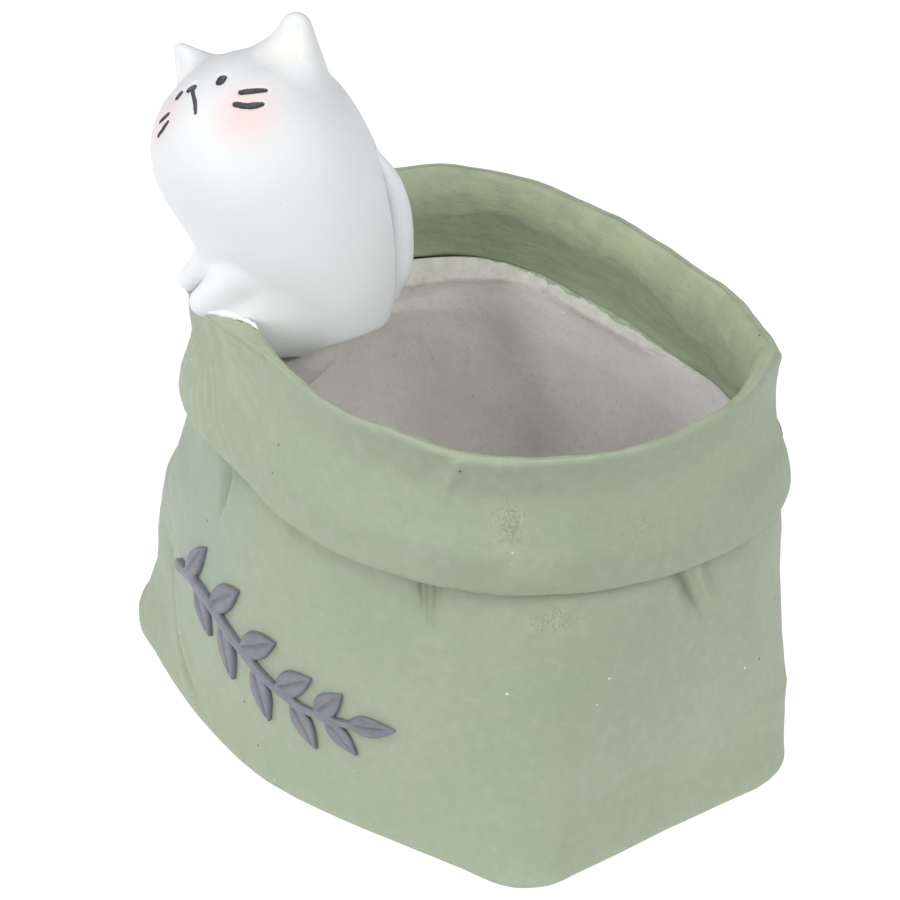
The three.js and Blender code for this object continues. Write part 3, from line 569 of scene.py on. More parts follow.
# ---------------------------------------------------------------- cuff
def spline(points, counts):
    """Open smooth curve through rings of (radius, height)."""
    p = [2 * points[0] - points[1]] + list(points) + [2 * points[-1] - points[-2]]
    out = []
    for i, n in enumerate(counts):
        for k in range(n):
            out.append(cubic(p[i], p[i + 1], p[i + 2], p[i + 3], k / n))
    out.append(points[-1])
    return out


def lip(a):
    return 2.3 + 2.5 * hump(a, 257, 14) + 0.5 * hump(a, 110, 50) + 1.3 * hump(a, 33, 14)


FOOT_AT = [0, 20, 38, 50, 75, 110, 128, 140, 150, 200, 300, 340, 360]
FOOT_Z = [62.6, 63.0, 63.0, 62.4, 62.0, 62.3, 62.4, 61.6, 60.9, 60.8, 61.0, 61.6, 62.6]
BAND_AT = [0, 40, 44, 48, 58, 66, 75, 83, 92, 102, 109, 119.5, 125, 132, 138, 144.5, 149, 160, 200, 300, 360]
BAND_Z = [67, 65.5, 66.0, 67.6, 68.0, 68.3, 70.2, 71.4, 72.4, 71.2, 70.6, 70.0, 71.6, 71.8, 70.4, 69.8, 68.7, 68.0, 69.0, 69.0, 67.0]


def foot_z(a):
    return np.interp(np.degrees(a) % 360, FOOT_AT, FOOT_Z)


def cuff():
    cr, cz, rr, rz, nr, mr = cuff_r(A), cuff_z(A), rim_r(A), rim_z(A), neck_r(A), mouth_r(A)
    # the lower edge is cut a little unevenly
    edge = polar(A, cr, cz)
    cz = cz + 0.25 * noise(edge, 11, 21)
    right = hump(A, 27, 9)
    left = hump(A, 232, 13)
    back = hump(A, 209, 9)
    ridge = np.exp(-np.abs(wrap(np.degrees(A) - 28.5)) / 3.0)
    rr = rr + 0.12 * noise(edge, 9, 22)
    rz = rz + 0.15 * noise(edge, 10, 23) + 0.10 * noise(edge, 4, 25)

    def at(t, push):
        push = push - 0.7 * right * math.exp(-((t - 0.48) / 0.14) ** 2) - 0.2 * hump(A, 33, 6) * (t < 0.32) + 0.15 * right * math.exp(-((t - 0.8) / 0.16) ** 2) + 0.35 * ridge
        push = push + left * np.interp(t, [0, 0.1, 0.32, 0.43, 0.54, 0.65, 0.75, 0.86, 0.97, 1.0], [0, 0.2, -0.2, -0.4, -1.0, -1.7, -1.8, -1.4, -0.7, -0.4])
        push = push + back * np.interp(t, [0, 0.1, 0.18, 0.24, 0.32, 0.43, 0.47, 0.53, 0.6, 0.75, 0.9, 1], [-1.2, -2.3, -3.4, -3.6, -2.9, -1.0, 0.1, 1.7, 2.4, 2.5, 2.0, 1.4])
        push = push - 1.25 * hump(A, 218.5, 5.5) * np.interp(t, [0.12, 0.27, 0.36, 0.45, 0.54], [0, 0.6, 1, 0.9, 0]) - 0.45 * hump(A, 31, 5) * math.exp(-((t - 0.32) / 0.1) ** 2)
        return np.stack([cr + (rr - cr) * t + push, cz + (rz - cz) * t])

    def rz_(r, z):
        return np.stack(np.broadcast_arrays(r + ZERO, z + ZERO))

    lw = lip(A)
    band = np.interp(np.degrees(A) % 360, [0, 40, 68, 94, 117, 150, 200, 360], [68.5, 68.0, 67.5, 68.0, 68.5, 68.5, 69, 68.5]) + 0.4 * noise(edge, 9, 26)
    roll = rr - lw - 1.2
    joint = hump(A, 143, 11)
    foot = foot_z(A) + (0.55 + 0.3 * noise(edge, 4, 24)) * joint - 0.5 * (1 - joint)
    tip = rr - 0.5 * left + 1.4 * back + 1.0 * hump(A, 230.5, 5)
    roll_side = hump(A, 262, 18)
    shown = [
        rz_(nr + 0.3 - tuck(A), cz + 1.6), rz_(cr - 0.9 - 0.8 * back, cz + 0.05), rz_(cr - 0.1 - 1.2 * back, cz + 0.12), rz_(cr + 0.35 - 1.7 * back, cz + 1.0), at(0.15, 0.55),
        at(0.3, 0.6), at(0.5, -0.4), at(0.7, -1.1), at(0.86, -0.5 - 0.15 * roll_side), at(0.945, 0.05 - 0.4 * roll_side),
        rz_(tip + 0.12, rz - 0.62), rz_(tip - 0.12, rz - 0.10), rz_(tip - 0.55, rz + 0.06), rz_(rr - 0.62 * lw - 0.2, rz - 0.2), rz_(rr - lw, rz - 1.1),
        rz_(roll + 0.35, rz - 3.2), rz_(roll, (rz + band) / 2 - 0.6), rz_(roll * 0.82 + mr * 0.18 + 0.25, band + 0.6), rz_(roll * 0.5 + mr * 0.5 + 0.35, band - 1.6), rz_(mr + 0.35, foot + 1.8), rz_(mr - 0.1 * (1 - joint), foot),
    ]
    counts = [4, 3, 4, 6, 9, 11, 11, 9, 6, 4, 4, 4, 5, 5, 6, 7, 6, 5, 8, 5]
    curve = spline(shown, counts)
    n_shown = len(curve)
    curve += [rz_(mr + 0.5, foot - 0.1), rz_(mr + 1.0, 60.9), rz_(np.maximum(nr - 0.6 - tuck(A), mr + 1.1), 60.8), rz_(nr + 0.3 - tuck(A), 60.8)]
    P = np.stack([polar(A, c[0], c[1]) for c in curve])
    # lumps, brushed swellings and soft folds, on what shows
    mask = np.zeros(len(P))
    mask[2:n_shown - 3] = 1
    mask = np.convolve(mask, np.ones(5) / 5, "same")[:, None]
    N = normals_of(P)
    ctr = np.stack([30 * np.cos(A), 14 * np.sin(A), 66 + ZERO], -1)
    profile_out = P[20] - ctr
    if np.einsum("ij,ij->i", N[20], profile_out).mean() < 0:
        N = -N
    d = 0.30 * noise(P, 16, 31) + 0.12 * noise(P * np.array([1, 1, 0.6]), 6, 32) + 0.04 * noise(P, 2.5, 33)
    deg = np.degrees(A)[None, :] % 360
    z = P[..., 2]
    t = np.clip((z - cuff_z(A)) / (rim_z(A) - cuff_z(A)), 0, 1.05)
    r = np.hypot(P[..., 0], P[..., 1])
    k = np.arange(len(P))[:, None] + 0 * z
    k_crest = sum(counts[:12])
    outside = (k < k_crest).astype(float)
    inside = ((k >= k_crest + 3) & (k < n_shown)).astype(float)
    # the inner face is brushed on thick and uneven
    d = d + inside * (0.10 * noise(P * np.array([0.4, 0.7, 1.2]), 3.0, 39) + 0.06 * noise(P * np.array([0.6, 0.8, 1]), 1.5, 40))
    # folds that run down from the pinched left corner of the rim
    for at0, at1, deep in ((243, 236, -0.28), (247, 243, 0.22), (251, 253, -0.28), (257, 264, 0.2), (263, 274, -0.22)):
        line = at1 + (at0 - at1) * t
        d = d + outside * deep * np.exp(-((deg - line) / (1.8 + 2.4 * (1 - t))) ** 2) * smooth(t, 0.12, 0.4) * (1 - smooth(t, 0.9, 1.0))
    # a soft fold under the dip of the front rim
    line = 322.0 + 2.6 * (t - 0.6) / 0.4
    d = d + outside * smooth(t, 0.5, 0.8) * (1 - smooth(t, 0.93, 1.0)) * (0.35 * np.exp(-((deg - line) / 1.1) ** 2) - 0.35 * np.exp(-((deg - line + 3.0) / 2.4) ** 2))
    # brush strokes that fan out from the pinched corner
    phi, rho = np.arctan2(z - 79.0, (deg - 235.0) * 0.72), np.hypot(z - 79.0, (deg - 235.0) * 0.72)
    fan = np.stack([phi / 0.045, rho / 14, 0 * phi], -1)
    stroke = (noise(fan, 1.0, 35) + 0.6 * noise(fan * 2.3, 1.0, 36)) * outside * smooth(rho, 1, 5) * (1 - smooth(rho, 20, 42)) * (deg > 200)
    d = d + 0.045 * stroke
    P = P + N * (d * mask)[..., None]
    # painted highlights along the rim's crest, at its left and right, on the cuff's lower edge and on its right corner
    # ridge
    top = ((k >= k_crest - 3) & (k <= k_crest + 9)).astype(float)
    wear_and_highlight = 0.9 * top * np.exp(-((k - k_crest - 2) / 5.0) ** 2) * (1.0 + 0.2 * np.exp(-(wrap(deg - 30) / 16) ** 2)) + 0.4 * (k >= k_crest - 2) * (k <= k_crest + 12) * (np.exp(-(wrap(deg - 262) / 18) ** 2) + np.exp(-(wrap(deg - 30) / 14) ** 2)) + 0.3 * outside * np.exp(-(t / 0.05) ** 2) + 0.25 * outside * np.exp(-np.abs(wrap(deg - 28.5)) / 1.5)
    # the upper inner face is painted lighter as a highlight; the lower band under the roll is painted shade
    zb = np.interp(np.degrees(A) % 360, BAND_AT, BAND_Z)[None, :] + 0.9 * noise(P * np.array([1, 1, 0.6]), 6, 34) + 0.4 * noise(P, 2, 38)
    low = inside * smooth(-(z - zb), -0.4, 0.4)
    wear_and_highlight = wear_and_highlight + inside * (1 - low) * (0.45 + 0.45 * np.exp(-((rim_z(A) - z - 3.0) / 2.6) ** 2)) * (0.7 + 0.6 * np.exp(-(wrap(deg - 103) / 22) ** 2))
    edge_line = np.exp(-((z - foot_z(A) - 0.75 - 0.25 * noise(P, 3, 37)) / 0.35) ** 2) * np.exp(-((deg - 75) / 38) ** 2)
    wear_and_highlight = wear_and_highlight + 0.8 * inside * edge_line
    # painted shade in the lower inner band, in the joint gap at the foot, along a step line and under the roll at the
    # left; the cuff's underside rings are painted shade, and brush strokes darker
    step = np.exp(-((z - 66.2 - 0.04 * (deg - 142)) / 0.32) ** 2) * np.exp(-((deg - 143) / 9) ** 2)
    shade_and_grime = low * (0.40 + 0.16 * np.exp(-(wrap(deg - 138) / 12) ** 2) - 0.14 * np.exp(-(wrap(deg - 97) / 10) ** 2)) + inside * (0.5 * joint * np.exp(-((z - foot_z(A) - 0.4) / 0.5) ** 2) + 0.5 * step) + 0.35 * outside * np.exp(-((k - k_crest + 7) / 2.0) ** 2) * np.exp(-((deg - 262) / 16) ** 2)
    shade_and_grime = shade_and_grime + (k < 8) * 0.5 + 0.16 * np.maximum(-stroke, 0)
    wear_and_highlight = wear_and_highlight + 0.45 * np.maximum(stroke, 0)
    spot = lambda a0, z0, da, dz: np.exp(-(wrap(deg - a0) / da) ** 2 - ((z - z0) / dz) ** 2) * outside
    # painted highlight on the left of the cuff
    wear_and_highlight = wear_and_highlight + 0.3 * spot(238, 65, 12, 9)
    scuff = spot(331.8, 65.2, 3.0, 4.2) + 0.55 * spot(351.5, 62.8, 6.0, 3.8)
    shade_and_grime = shade_and_grime + 0.22 * spot(351.5, 63.0, 5.5, 3.6) + 0.12 * spot(16, 63, 7, 6)
    # warm lighter patches outside, and a painted highlight along the top of the inner face
    warm_tint_and_highlight = spot(334.5, 57.7, 4.5, 2.2) + 0.6 * spot(262.5, 70, 5, 3) + 0.5 * spot(10, 70, 8, 4) + 0.9 * inside * (1 - low) * np.exp(-((z - 74) / 4) ** 2)
    piece("cuff_skin", P.reshape(-1, 3), torus_faces(*P.shape[:2]), "pot", "sage_paint", ["cuff_ring"],
          {"shade_and_grime": shade_and_grime, "wear_and_highlight": np.clip(wear_and_highlight, 0, 1), "inside": inside, "scuff": scuff, "warm_tint_and_highlight": warm_tint_and_highlight, "painted_cool_reflection": 0 * z})


cuff()


# ---------------------------------------------------------------- inner pot
LEDGE_AT = [0, 55, 62, 72, 80, 92, 115, 124, 132, 142, 150, 220, 300, 360]
LEDGE_W = [0.3, 0.3, 0.5, 1.6, 2.0, 2.0, 2.0, 2.0, 2.0, 2.0, 2.0, 2.0, 0.6, 0.3]
LEDGE_H = [0.5, 0.5, 0.7, 1.7, 2.0, 2.3, 2.2, 2.6, 3.4, 4.0, 4.3, 4.3, 1.0, 0.5]


def inner_pot():
    rings, chalk, run, shade_and_grime = [], [], [], []

    def put(P, c=0.0, u=0.0, d=0.0):
        rings.append(P)
        for lst, v in ((chalk, c), (run, u), (shade_and_grime, d)):
            lst.append(np.broadcast_to(v, A.shape))

    seat = hump(A, 226, 13)
    low_w, low_drop = np.interp(np.degrees(A) % 360, LEDGE_AT, LEDGE_W), np.interp(np.degrees(A) % 360, LEDGE_AT, LEDGE_H)
    top_z = foot_z(A) - 0.1
    low = mouth_r(A) - low_w
    low_z = top_z - low_drop

    def wall(z):
        return np.minimum(body_r(A, ZERO + z) - BODY_WALL - LINER_GAP - LINER_WALL, low + (low_z - z) * 0.33)

    floor0, floor1 = 3.8, 7.3
    fl = polar(A, wall(8.0) - 7, floor1)
    for t in (0.0, 0.08, 0.3, 0.55, 0.8, 0.94, 1.0):
        put((1 - t) * hole_ring(A, floor1) + t * fl)
    put(polar(A, wall(8.5) - 4.4, 7.9))
    put(polar(A, wall(9.0) - 2.5, 9.2))
    put(polar(A, wall(12.0) - 0.8, 11.8))
    for f in np.linspace(0, 1, 62):
        z = 14.5 + (low_z - 0.6 - 14.5) * f
        rise = z + 7 * seat * smooth(f, 0.7, 1)
        r = wall(z) - 9 * seat * smooth(f, 0.3, 1) ** 1.3
        P = polar(A, r, rise)
        d = 0.28 * noise(P, 17, 41) + 0.09 * noise(P, 6, 42)
        d = d + (0.6 * hump(A, 131, 9.0) - 0.4 * hump(A, 118, 8.0) + 0.4 * hump(A, 160, 9)) * smooth(z, 18, 38)
        line = np.interp(z, [20, 30, 36, 44, 49, 53], [122, 118, 117, 123, 129, 133])
        shade = 0.38 * np.exp(-((np.degrees(A) % 360 - line + 1.5 * noise(P, 7, 47)) / 9.0) ** 2) * smooth(z, 16, 30) * (1 - smooth(z, 52, 57))
        put(polar(A, r + d * smooth(z, 14, 20) * (1 - 0.7 * smooth(f, 0.93, 1)), rise), -1.0 + 1.2 * smooth(f, 0.985, 1.0) + 1.45 * np.exp(-((np.degrees(A) % 360 - 47) / 2.6) ** 2 - ((z - 54) / 1.8) ** 2), -1.0, shade)
    rough = polar(A, low, 57)
    bite = 0.22 * noise(rough, 6, 43) + 0.08 * noise(rough, 2, 44)
    lowr = low - 9 * seat
    for t in np.linspace(0, 1, 13):
        r = (lowr + bite * (1 - t)) * (1 - t) + (mouth_r(A) + 0.25) * t
        z = low_z + low_drop * t ** 0.85 + 7 * seat * (1 - t) + 4 * seat * t
        P = polar(A, r, z)
        grit = 0.14 * noise(P, 1.6, 45) + 0.2 * noise(P, 4, 46)
        paint = -1.0 + 1.5 * t + np.interp(np.degrees(A) % 360, [0, 30, 55, 70, 110, 124, 131, 138, 150, 340, 360], [1.0, 1.3, 1.3, 0.62, 0.5, 0.55, 0.4, -0.25, -0.9, -0.9, 1.0])
        # the ledge under the cat's seat is painted shade
        put(polar(A, r, z + grit * (0.2 + t) * (1 - t) * np.minimum(low_w, 1.5)), 1.0 - 1.6 * seat, paint, 0.9 * seat)
    put(polar(A, mouth_r(A) + 0.9, foot_z(A) - 0.4 + 4 * seat))
    put(polar(A, mouth_r(A) + 1.0, WALL_TOP))
    put(polar(A, neck_r(A) - BODY_WALL - LINER_GAP, WALL_TOP))
    for z in (51.0, 43, 32, 20, 11):
        put(polar(A, body_r(A, ZERO + z) - BODY_WALL - LINER_GAP, z))
    put(polar(A, body_r(A, ZERO + 6) - BODY_WALL - 2.0, 6.2))
    bt = polar(A, body_r(A, ZERO + 4) - BODY_WALL - 4.6, floor0)
    for t in (1.0, 0.6, 0.2, 0.0):
        put((1 - t) * hole_ring(A, floor0) + t * bt)
    P = np.stack(rings)
    piece("inner_pot_skin", P.reshape(-1, 3), torus_faces(*P.shape[:2]), "pot", "grey_lining", ["inner_pot"],
          {"chalk": np.stack(chalk), "run": np.stack(run), "shade_and_grime": np.stack(shade_and_grime)})


inner_pot()

# ---------------------------------------------------------------- closed skins from distance fields
EDGES = [((0, 0, 0), (1, 0, 0)), ((0, 1, 0), (1, 1, 0)), ((0, 0, 1), (1, 0, 1)), ((0, 1, 1), (1, 1, 1)),
         ((0, 0, 0), (0, 1, 0)), ((1, 0, 0), (1, 1, 0)), ((0, 0, 1), (0, 1, 1)), ((1, 0, 1), (1, 1, 1)),
         ((0, 0, 0), (0, 0, 1)), ((1, 0, 0), (1, 0, 1)), ((0, 1, 0), (0, 1, 1)), ((1, 1, 0), (1, 1, 1))]


def skin_of(field, low, high, h, settle=2):
    """Quad mesh of the zero surface of a distance field in a box."""
    low, high = np.asarray(low, float), np.asarray(high, float)
    n = np.ceil((high - low) / h).astype(int) + 1
    xs, ys, zs = (low[i] + h * np.arange(n[i]) for i in range(3))
    D = np.empty(n)
    step = max(1, 400000 // (n[1] * n[2]))
    for i in range(0, n[0], step):
        P = np.stack(np.meshgrid(xs[i:i + step], ys, zs, indexing="ij"), -1)
        D[i:i + step] = field(P.reshape(-1, 3)).reshape(P.shape[:3])
    s = D < 0
    corners = [s[a:n[0] - 1 + a, b:n[1] - 1 + b, c:n[2] - 1 + c] for a in (0, 1) for b in (0, 1) for c in (0, 1)]
    active = np.logical_or.reduce(corners) & ~np.logical_and.reduce(corners)
    index = np.full(active.shape, -1, np.int64)
    index[active] = np.arange(active.sum())
    cell = np.argwhere(active)
    total, count = np.zeros((len(cell), 3)), np.zeros(len(cell))
    for a, b in EDGES:
        a, b = np.array(a), np.array(b)
        da, db = D[tuple((cell + a).T)], D[tuple((cell + b).T)]
        m = (da < 0) != (db < 0)
        t = da[m] / (da[m] - db[m])
        total[m] += a + t[:, None] * (b - a)
        count[m] += 1
    V = low + (cell + total / count[:, None]) * h
    faces = []
    for axis in range(3):
        o1, o2 = (axis + 1) % 3, (axis + 2) % 3
        sl0, sl1 = [slice(1, -1)] * 3, [slice(1, -1)] * 3
        sl0[axis], sl1[axis] = slice(0, -1), slice(1, None)
        e = np.argwhere(s[tuple(sl0)] != s[tuple(sl1)])
        off = np.ones(3, int)
        off[axis] = 0
        e = e + off
        start = s[tuple(e.T)]
        q = []
        for d1, d2 in ((1, 1), (0, 1), (0, 0), (1, 0)):
            c = e.copy()
            c[:, o1] -= d1
            c[:, o2] -= d2
            q.append(index[tuple(c.T)])
        q = np.stack(q, 1)
        q[~start] = q[~start][:, ::-1]
        faces.append(q)
    F = np.concatenate(faces)
    for _ in range(settle):
        d, g = slope(field, V)
        V = V - g * np.clip(d, -h, h)[:, None]
    return V, F


def slope(field, V, e=0.05):
    g = np.stack([field(V + e * np.eye(3)[i]) - field(V - e * np.eye(3)[i]) for i in range(3)], -1)
    length = np.maximum(np.linalg.norm(g, axis=1), 1e-9)
    return field(V) / np.clip(length / (2 * e), 0.3, 3), g / length[:, None]


def round_cone(P, a, b, ra, rb):
    a, b = np.asarray(a, float), np.asarray(b, float)
    ba = b - a
    l2 = ba @ ba
    rr = ra - rb
    a2 = l2 - rr * rr
    il2 = 1 / l2
    pa = P - a
    y = pa @ ba
    z = y - l2
    x2 = ((pa * l2 - ba * y[:, None]) ** 2).sum(1)
    y2, z2 = y * y * l2, z * z * l2
    k = np.sign(rr) * rr * rr * x2
    d = (np.sqrt(np.maximum(x2 * a2 * il2, 0)) + y * rr) * il2 - ra
    d = np.where(np.sign(z) * a2 * z2 > k, np.sqrt(x2 + z2) * il2 - rb, d)
    return np.where(np.sign(y) * a2 * y2 < k, np.sqrt(x2 + y2) * il2 - ra, d)


def segment_distance(P, a, b):
    a, b = np.asarray(a, float), np.asarray(b, float)
    ba = b - a
    t = np.clip((P - a) @ ba / max(ba @ ba, 1e-9), 0, 1)
    return np.linalg.norm(P - a - t[:, None] * ba, axis=1)


def ellipsoid(P, centre, radii, axes=np.eye(3)):
    q = (P - centre) @ axes.T
    k0 = np.linalg.norm(q / radii, axis=1)
    k1 = np.linalg.norm(q / np.square(radii), axis=1)
    return k0 * (k0 - 1) / np.maximum(k1, 1e-6)


# ---------------------------------------------------------------- cat
CAT_O = np.array([-28.5, -34.0, 0.0])
HEADING = math.radians(-125)
AHEAD = np.array([math.cos(HEADING), math.sin(HEADING), 0])
LEFT = np.array([-math.sin(HEADING), math.cos(HEADING), 0])
CAT_MID, CAT_HALF = (118.52 + 64.83) / 2, (118.52 - 64.83) / 2
CAT_R = np.array([22.63, 21.6, 20.39, 18.11, 17.31, 19.52, 19.1])
CAT_S = np.array([-13.65, -13.56, -13.83, -17.31, -21.0, -23.03, -23.9])
FACE_F, FACE_U, FACE_L = np.array([0.217, -0.917, 0.334]), np.array([-0.564, 0.162, 0.81]), np.array([0.796, 0.365, 0.482])
HEAD = np.array([-20.5, -22.6, 104.8])
FACE_AXES = np.stack([FACE_L, FACE_U, FACE_F])


def cat_point(s, w, z):
    return CAT_O + AHEAD * s + LEFT * w + np.array([0, 0, z])


def bean_value(s, w, z):
    c = (z - CAT_MID) / CAT_HALF
    t = np.arccos(np.clip(c, -1, 1)) / np.pi
    r = along(CAT_R, t)
    return ((s - along(CAT_S, t)) / r) ** 2 + (w / (r * 1.03)) ** 2 + c * c - 1


def bean(P):
    q = P - CAT_O
    s, w, z = q @ AHEAD, q @ LEFT, P[:, 2]
    e = 0.15
    f = bean_value(s, w, z)
    gs = (bean_value(s + e, w, z) - bean_value(s - e, w, z)) / (2 * e)
    gw = (bean_value(s, w + e, z) - bean_value(s, w - e, z)) / (2 * e)
    gz = (bean_value(s, w, z + e) - bean_value(s, w, z - e)) / (2 * e)
    # far from the skin the value grows with the square, so the root keeps it even
    grad = np.sqrt(gs * gs + gw * gw + gz * gz)
    return 2 * f / np.maximum(grad, 1e-3) / (1 + np.sqrt(np.maximum(1 + f, 0.02)) ** 1.0)


def ear(P, foot, tip, rf, rt, flat):
    q = (P - HEAD) @ FACE_AXES.T
    q[:, 2] /= flat
    foot, tip = np.array(foot, float), np.array(tip, float)
    foot[2] /= flat
    tip[2] /= flat
    return round_cone(q, foot, tip, rf, rt) * flat


TAIL_S, TAIL_Z, TAIL_R = (along(np.array(v), np.linspace(0, 1, 120)) for v in (
    [-32.6, -34.6, -36.1, -36.6, -36.3, -35.2], [101.2, 97.0, 91.5, 85.5, 79.5, 75.2], [0.8, 1.9, 2.3, 2.4, 2.3, 1.4]))
TAIL = np.array([cat_point(s, 0.3, z) for s, z in zip(TAIL_S, TAIL_Z)])


def tail_field(P, grow=0.0):
    q = P - CAT_O
    z = np.clip(P[:, 2], TAIL_Z[-1], TAIL_Z[0])
    s, r = (np.interp(z, TAIL_Z[::-1], v[::-1]) for v in (TAIL_S, TAIL_R))
    return (np.sqrt((q @ AHEAD - s) ** 2 + (q @ LEFT - 0.3) ** 2 + (P[:, 2] - z) ** 2) - r - grow) * 0.93


SEAT_AT = [-27, -25, -23, -21.8, -19.3, -16, -12.7, -9.4]
SEAT_Z = [65.5, 66.4, 68.0, 69.8, 71.2, 71.9, 71.9, 70.8]


def seat_line(P):
    return np.interp(P[:, 0] * 0.6136 + P[:, 1] * 0.7896, SEAT_AT, SEAT_Z)


def step_in(P):
    above = P[:, 2] - seat_line(P)
    return 2.6 * (1 - smooth(above, -0.5, 0.5)) + 0.7 * np.maximum(-0.5 - above, 0)


def cat_plain(P):
    d = bean(P)
    # a fuller chest, and a slightly drawn-in throat below it
    d = d - 0.85 * np.exp(-((P - np.array([-24.3, -41.1, 100])) ** 2).sum(1) / 8.5 ** 2)
    d = d + 0.6 * np.exp(-((P - np.array([-26.5, -34.1, 88])) ** 2).sum(1) / 6.0 ** 2)
    # haunches and forelegs
    for side in (1, -1):
        d = softmin(d, ellipsoid(P, cat_point(-12.5, 8.5 * side, 77), np.array([8.0, 6.5, 8.5]), np.stack([AHEAD, LEFT, [0, 0, 1]])), 5)
    far = round_cone(P, (-20.6, -30.4, 87.2), (-26.5, -33.6, 79.3), 3.2, 2.2)
    near = round_cone(P, (-12.8, -32.6, 85.0), (-17.9, -36.9, 79.2), 3.5, 2.5)
    d = softmin(d, far, 2.2)
    d = softmin(d, near, 1.9)
    # ears, with a shallow hollow in front
    d = softmin(d, ear(P, (7.8, 8.0, -0.5), (11.3, 14.0, -0.4), 6.9, 3.1, 0.74), 2.4)
    d = softmin(d, ear(P, (-8.7, 9.4, -0.5), (-12.8, 18.4, 0.2), 6.4, 1.4, 0.74), 2.4)
    q = (P - HEAD) @ FACE_AXES.T
    front = smooth(q[:, 2], -1.0, 0.6)
    d = d + 0.65 * front * smooth(q[:, 1], 6.0, 11.0) * (1 - smooth(q[:, 1], 13.6, 16.6)) * smooth(q[:, 0], 5.5, 9.8) * (1 - smooth(q[:, 0], 12.4, 13.9))
    d = d + 0.5 * front * smooth(q[:, 1], 8.0, 13.0) * (1 - smooth(q[:, 1], 16.0, 19.0)) * smooth(-q[:, 0], 7.0, 9.8) * (1 - smooth(-q[:, 0], 12.4, 13.8))
    # a seat for the tail
    d = softmax(d, -tail_field(P, 0.3), 0.5)
    return d + step_in(P) + 0.10 * noise(P, 10, 51) + 0.03 * noise(P, 4, 52)


# face marks: points on the skin, and half widths
MARKS = {
    "left_eye": ([(-19.35, -30.75, 116.8), (-19.15, -31.15, 116.3)], [0.86, 0.86]),
    "right_eye": ([(-25.87, -34.85, 113.1), (-25.88, -35.25, 112.75)], [0.72, 0.72]),
    "nose": ([(-24.0, -34.2, 114.45), (-23.4, -33.85, 114.75)], [0.74, 0.76]),
    "mouth_line": ([(-22.9, -34.2, 114.5), (-22.26, -34.57, 114.24), (-20.43, -35.43, 113.64), (-19.43, -36.02, 113.06), (-18.64, -36.58, 112.41)], [0.32, 0.36, 0.37, 0.36, 0.30]),
    "left_whisker_upper": ([(-14.45, -30.33, 115.80), (-13.81, -29.42, 115.96), (-12.95, -28.06, 116.07), (-12.3, -27.0, 116.03)], [0.56, 0.62, 0.58, 0.42]),
    "left_whisker_lower": ([(-13.55, -32.2, 114.6), (-12.65, -31.5, 114.45), (-11.75, -30.6, 114.4), (-11.1, -29.7, 114.55), (-10.65, -28.9, 114.8)], [0.54, 0.60, 0.62, 0.60, 0.44]),
    "right_whisker_upper": ([(-25.25, -37.55, 110.38), (-26.05, -37.86, 109.5), (-26.95, -38.0, 108.6)], [0.42, 0.52, 0.42]),
    "right_whisker_lower": ([(-24.05, -38.42, 109.55), (-24.5, -38.98, 108.3), (-25.25, -39.3, 106.95)], [0.42, 0.52, 0.42]),
}
for key, (points, widths) in MARKS.items():
    V = np.array(points, float)
    for _ in range(4):
        d, g = slope(cat_plain, V)
        V = V - g * d[:, None]
    MARKS[key] = (V, widths)


def mark_distance(P, key, grow=0.0):
    """Distance outside a painted stroke."""
    V, widths = MARKS[key]
    d = np.full(len(P), 1e3)
    for i in range(len(V) - 1):
        d = np.minimum(d, round_cone(P, V[i], V[i + 1] + 1e-4, widths[i] + grow, widths[i + 1] + grow))
    return d


def grooves(P):
    """Depth of the shallow grooves under the face marks."""
    out = np.zeros(len(P))
    m = (P[:, 2] > 103) & (P[:, 1] < -23)
    if m.any():
        Q = P[m]
        deep = np.zeros(len(Q))
        for key, (V, widths) in MARKS.items():
            w = max(widths)
            near = np.linalg.norm(Q - V.mean(0), axis=1) < 6
            if near.any():
                x = np.maximum(mark_distance(Q[near], key) + w, 0)
                deep[near] = np.maximum(deep[near], 0.42 * min(w / 0.5, 1.3) * np.exp(-(x / (0.95 * w)) ** 2))
        out[m] = deep
    return out


def cat_field(P):
    return cat_plain(P) + grooves(P)


BLUSH = [((-11.4, -31.9, 113.8), 1.0), ((-26.6, -38.0, 109.7), 0.55)]


def cat():
    V, F = skin_of(cat_field, (-50, -54, 62), (6, 4, 127), 0.32)
    blush = sum(k * np.exp(-(np.linalg.norm(V - np.array(b), axis=1) / 5.0) ** 2) for b, k in BLUSH)
    near_ear = np.exp(-(((V - (HEAD + FACE_L * 11.2 + FACE_U * 11.2 + FACE_F * 3.0)) ** 2).sum(1)) / 3.4 ** 2)
    far_ear = np.exp(-(((V - (HEAD - FACE_L * 11.2 + FACE_U * 12.0 + FACE_F * 3.0)) ** 2).sum(1)) / 3.0 ** 2)
    # painted shade in the groove where the tail meets the back
    tail = np.exp(-(np.maximum(tail_field(V), 0) / 0.45) ** 2)
    across = V[:, 0] * 0.6136 + V[:, 1] * 0.7896
    # painted light: lighter low on the body, darker towards the top
    painted_fill_and_shade = 1 - 1.55 * smooth(V[:, 2] - 0.35 * (V[:, 0] + 20), 72, 112)
    painted_fill_and_shade = np.where(painted_fill_and_shade > 0, painted_fill_and_shade * smooth(across, -37, -25), painted_fill_and_shade * (1 - 0.8 * smooth(across, -24, -12)))
    piece("cat_skin", V, F, "pot", "white_paint", ["cat_body"], {"blush": np.clip(blush, 0, 1), "cream": np.clip(near_ear + far_ear, 0, 1), "shade_and_grime": 0.5 * tail, "painted_fill_and_shade": painted_fill_and_shade})


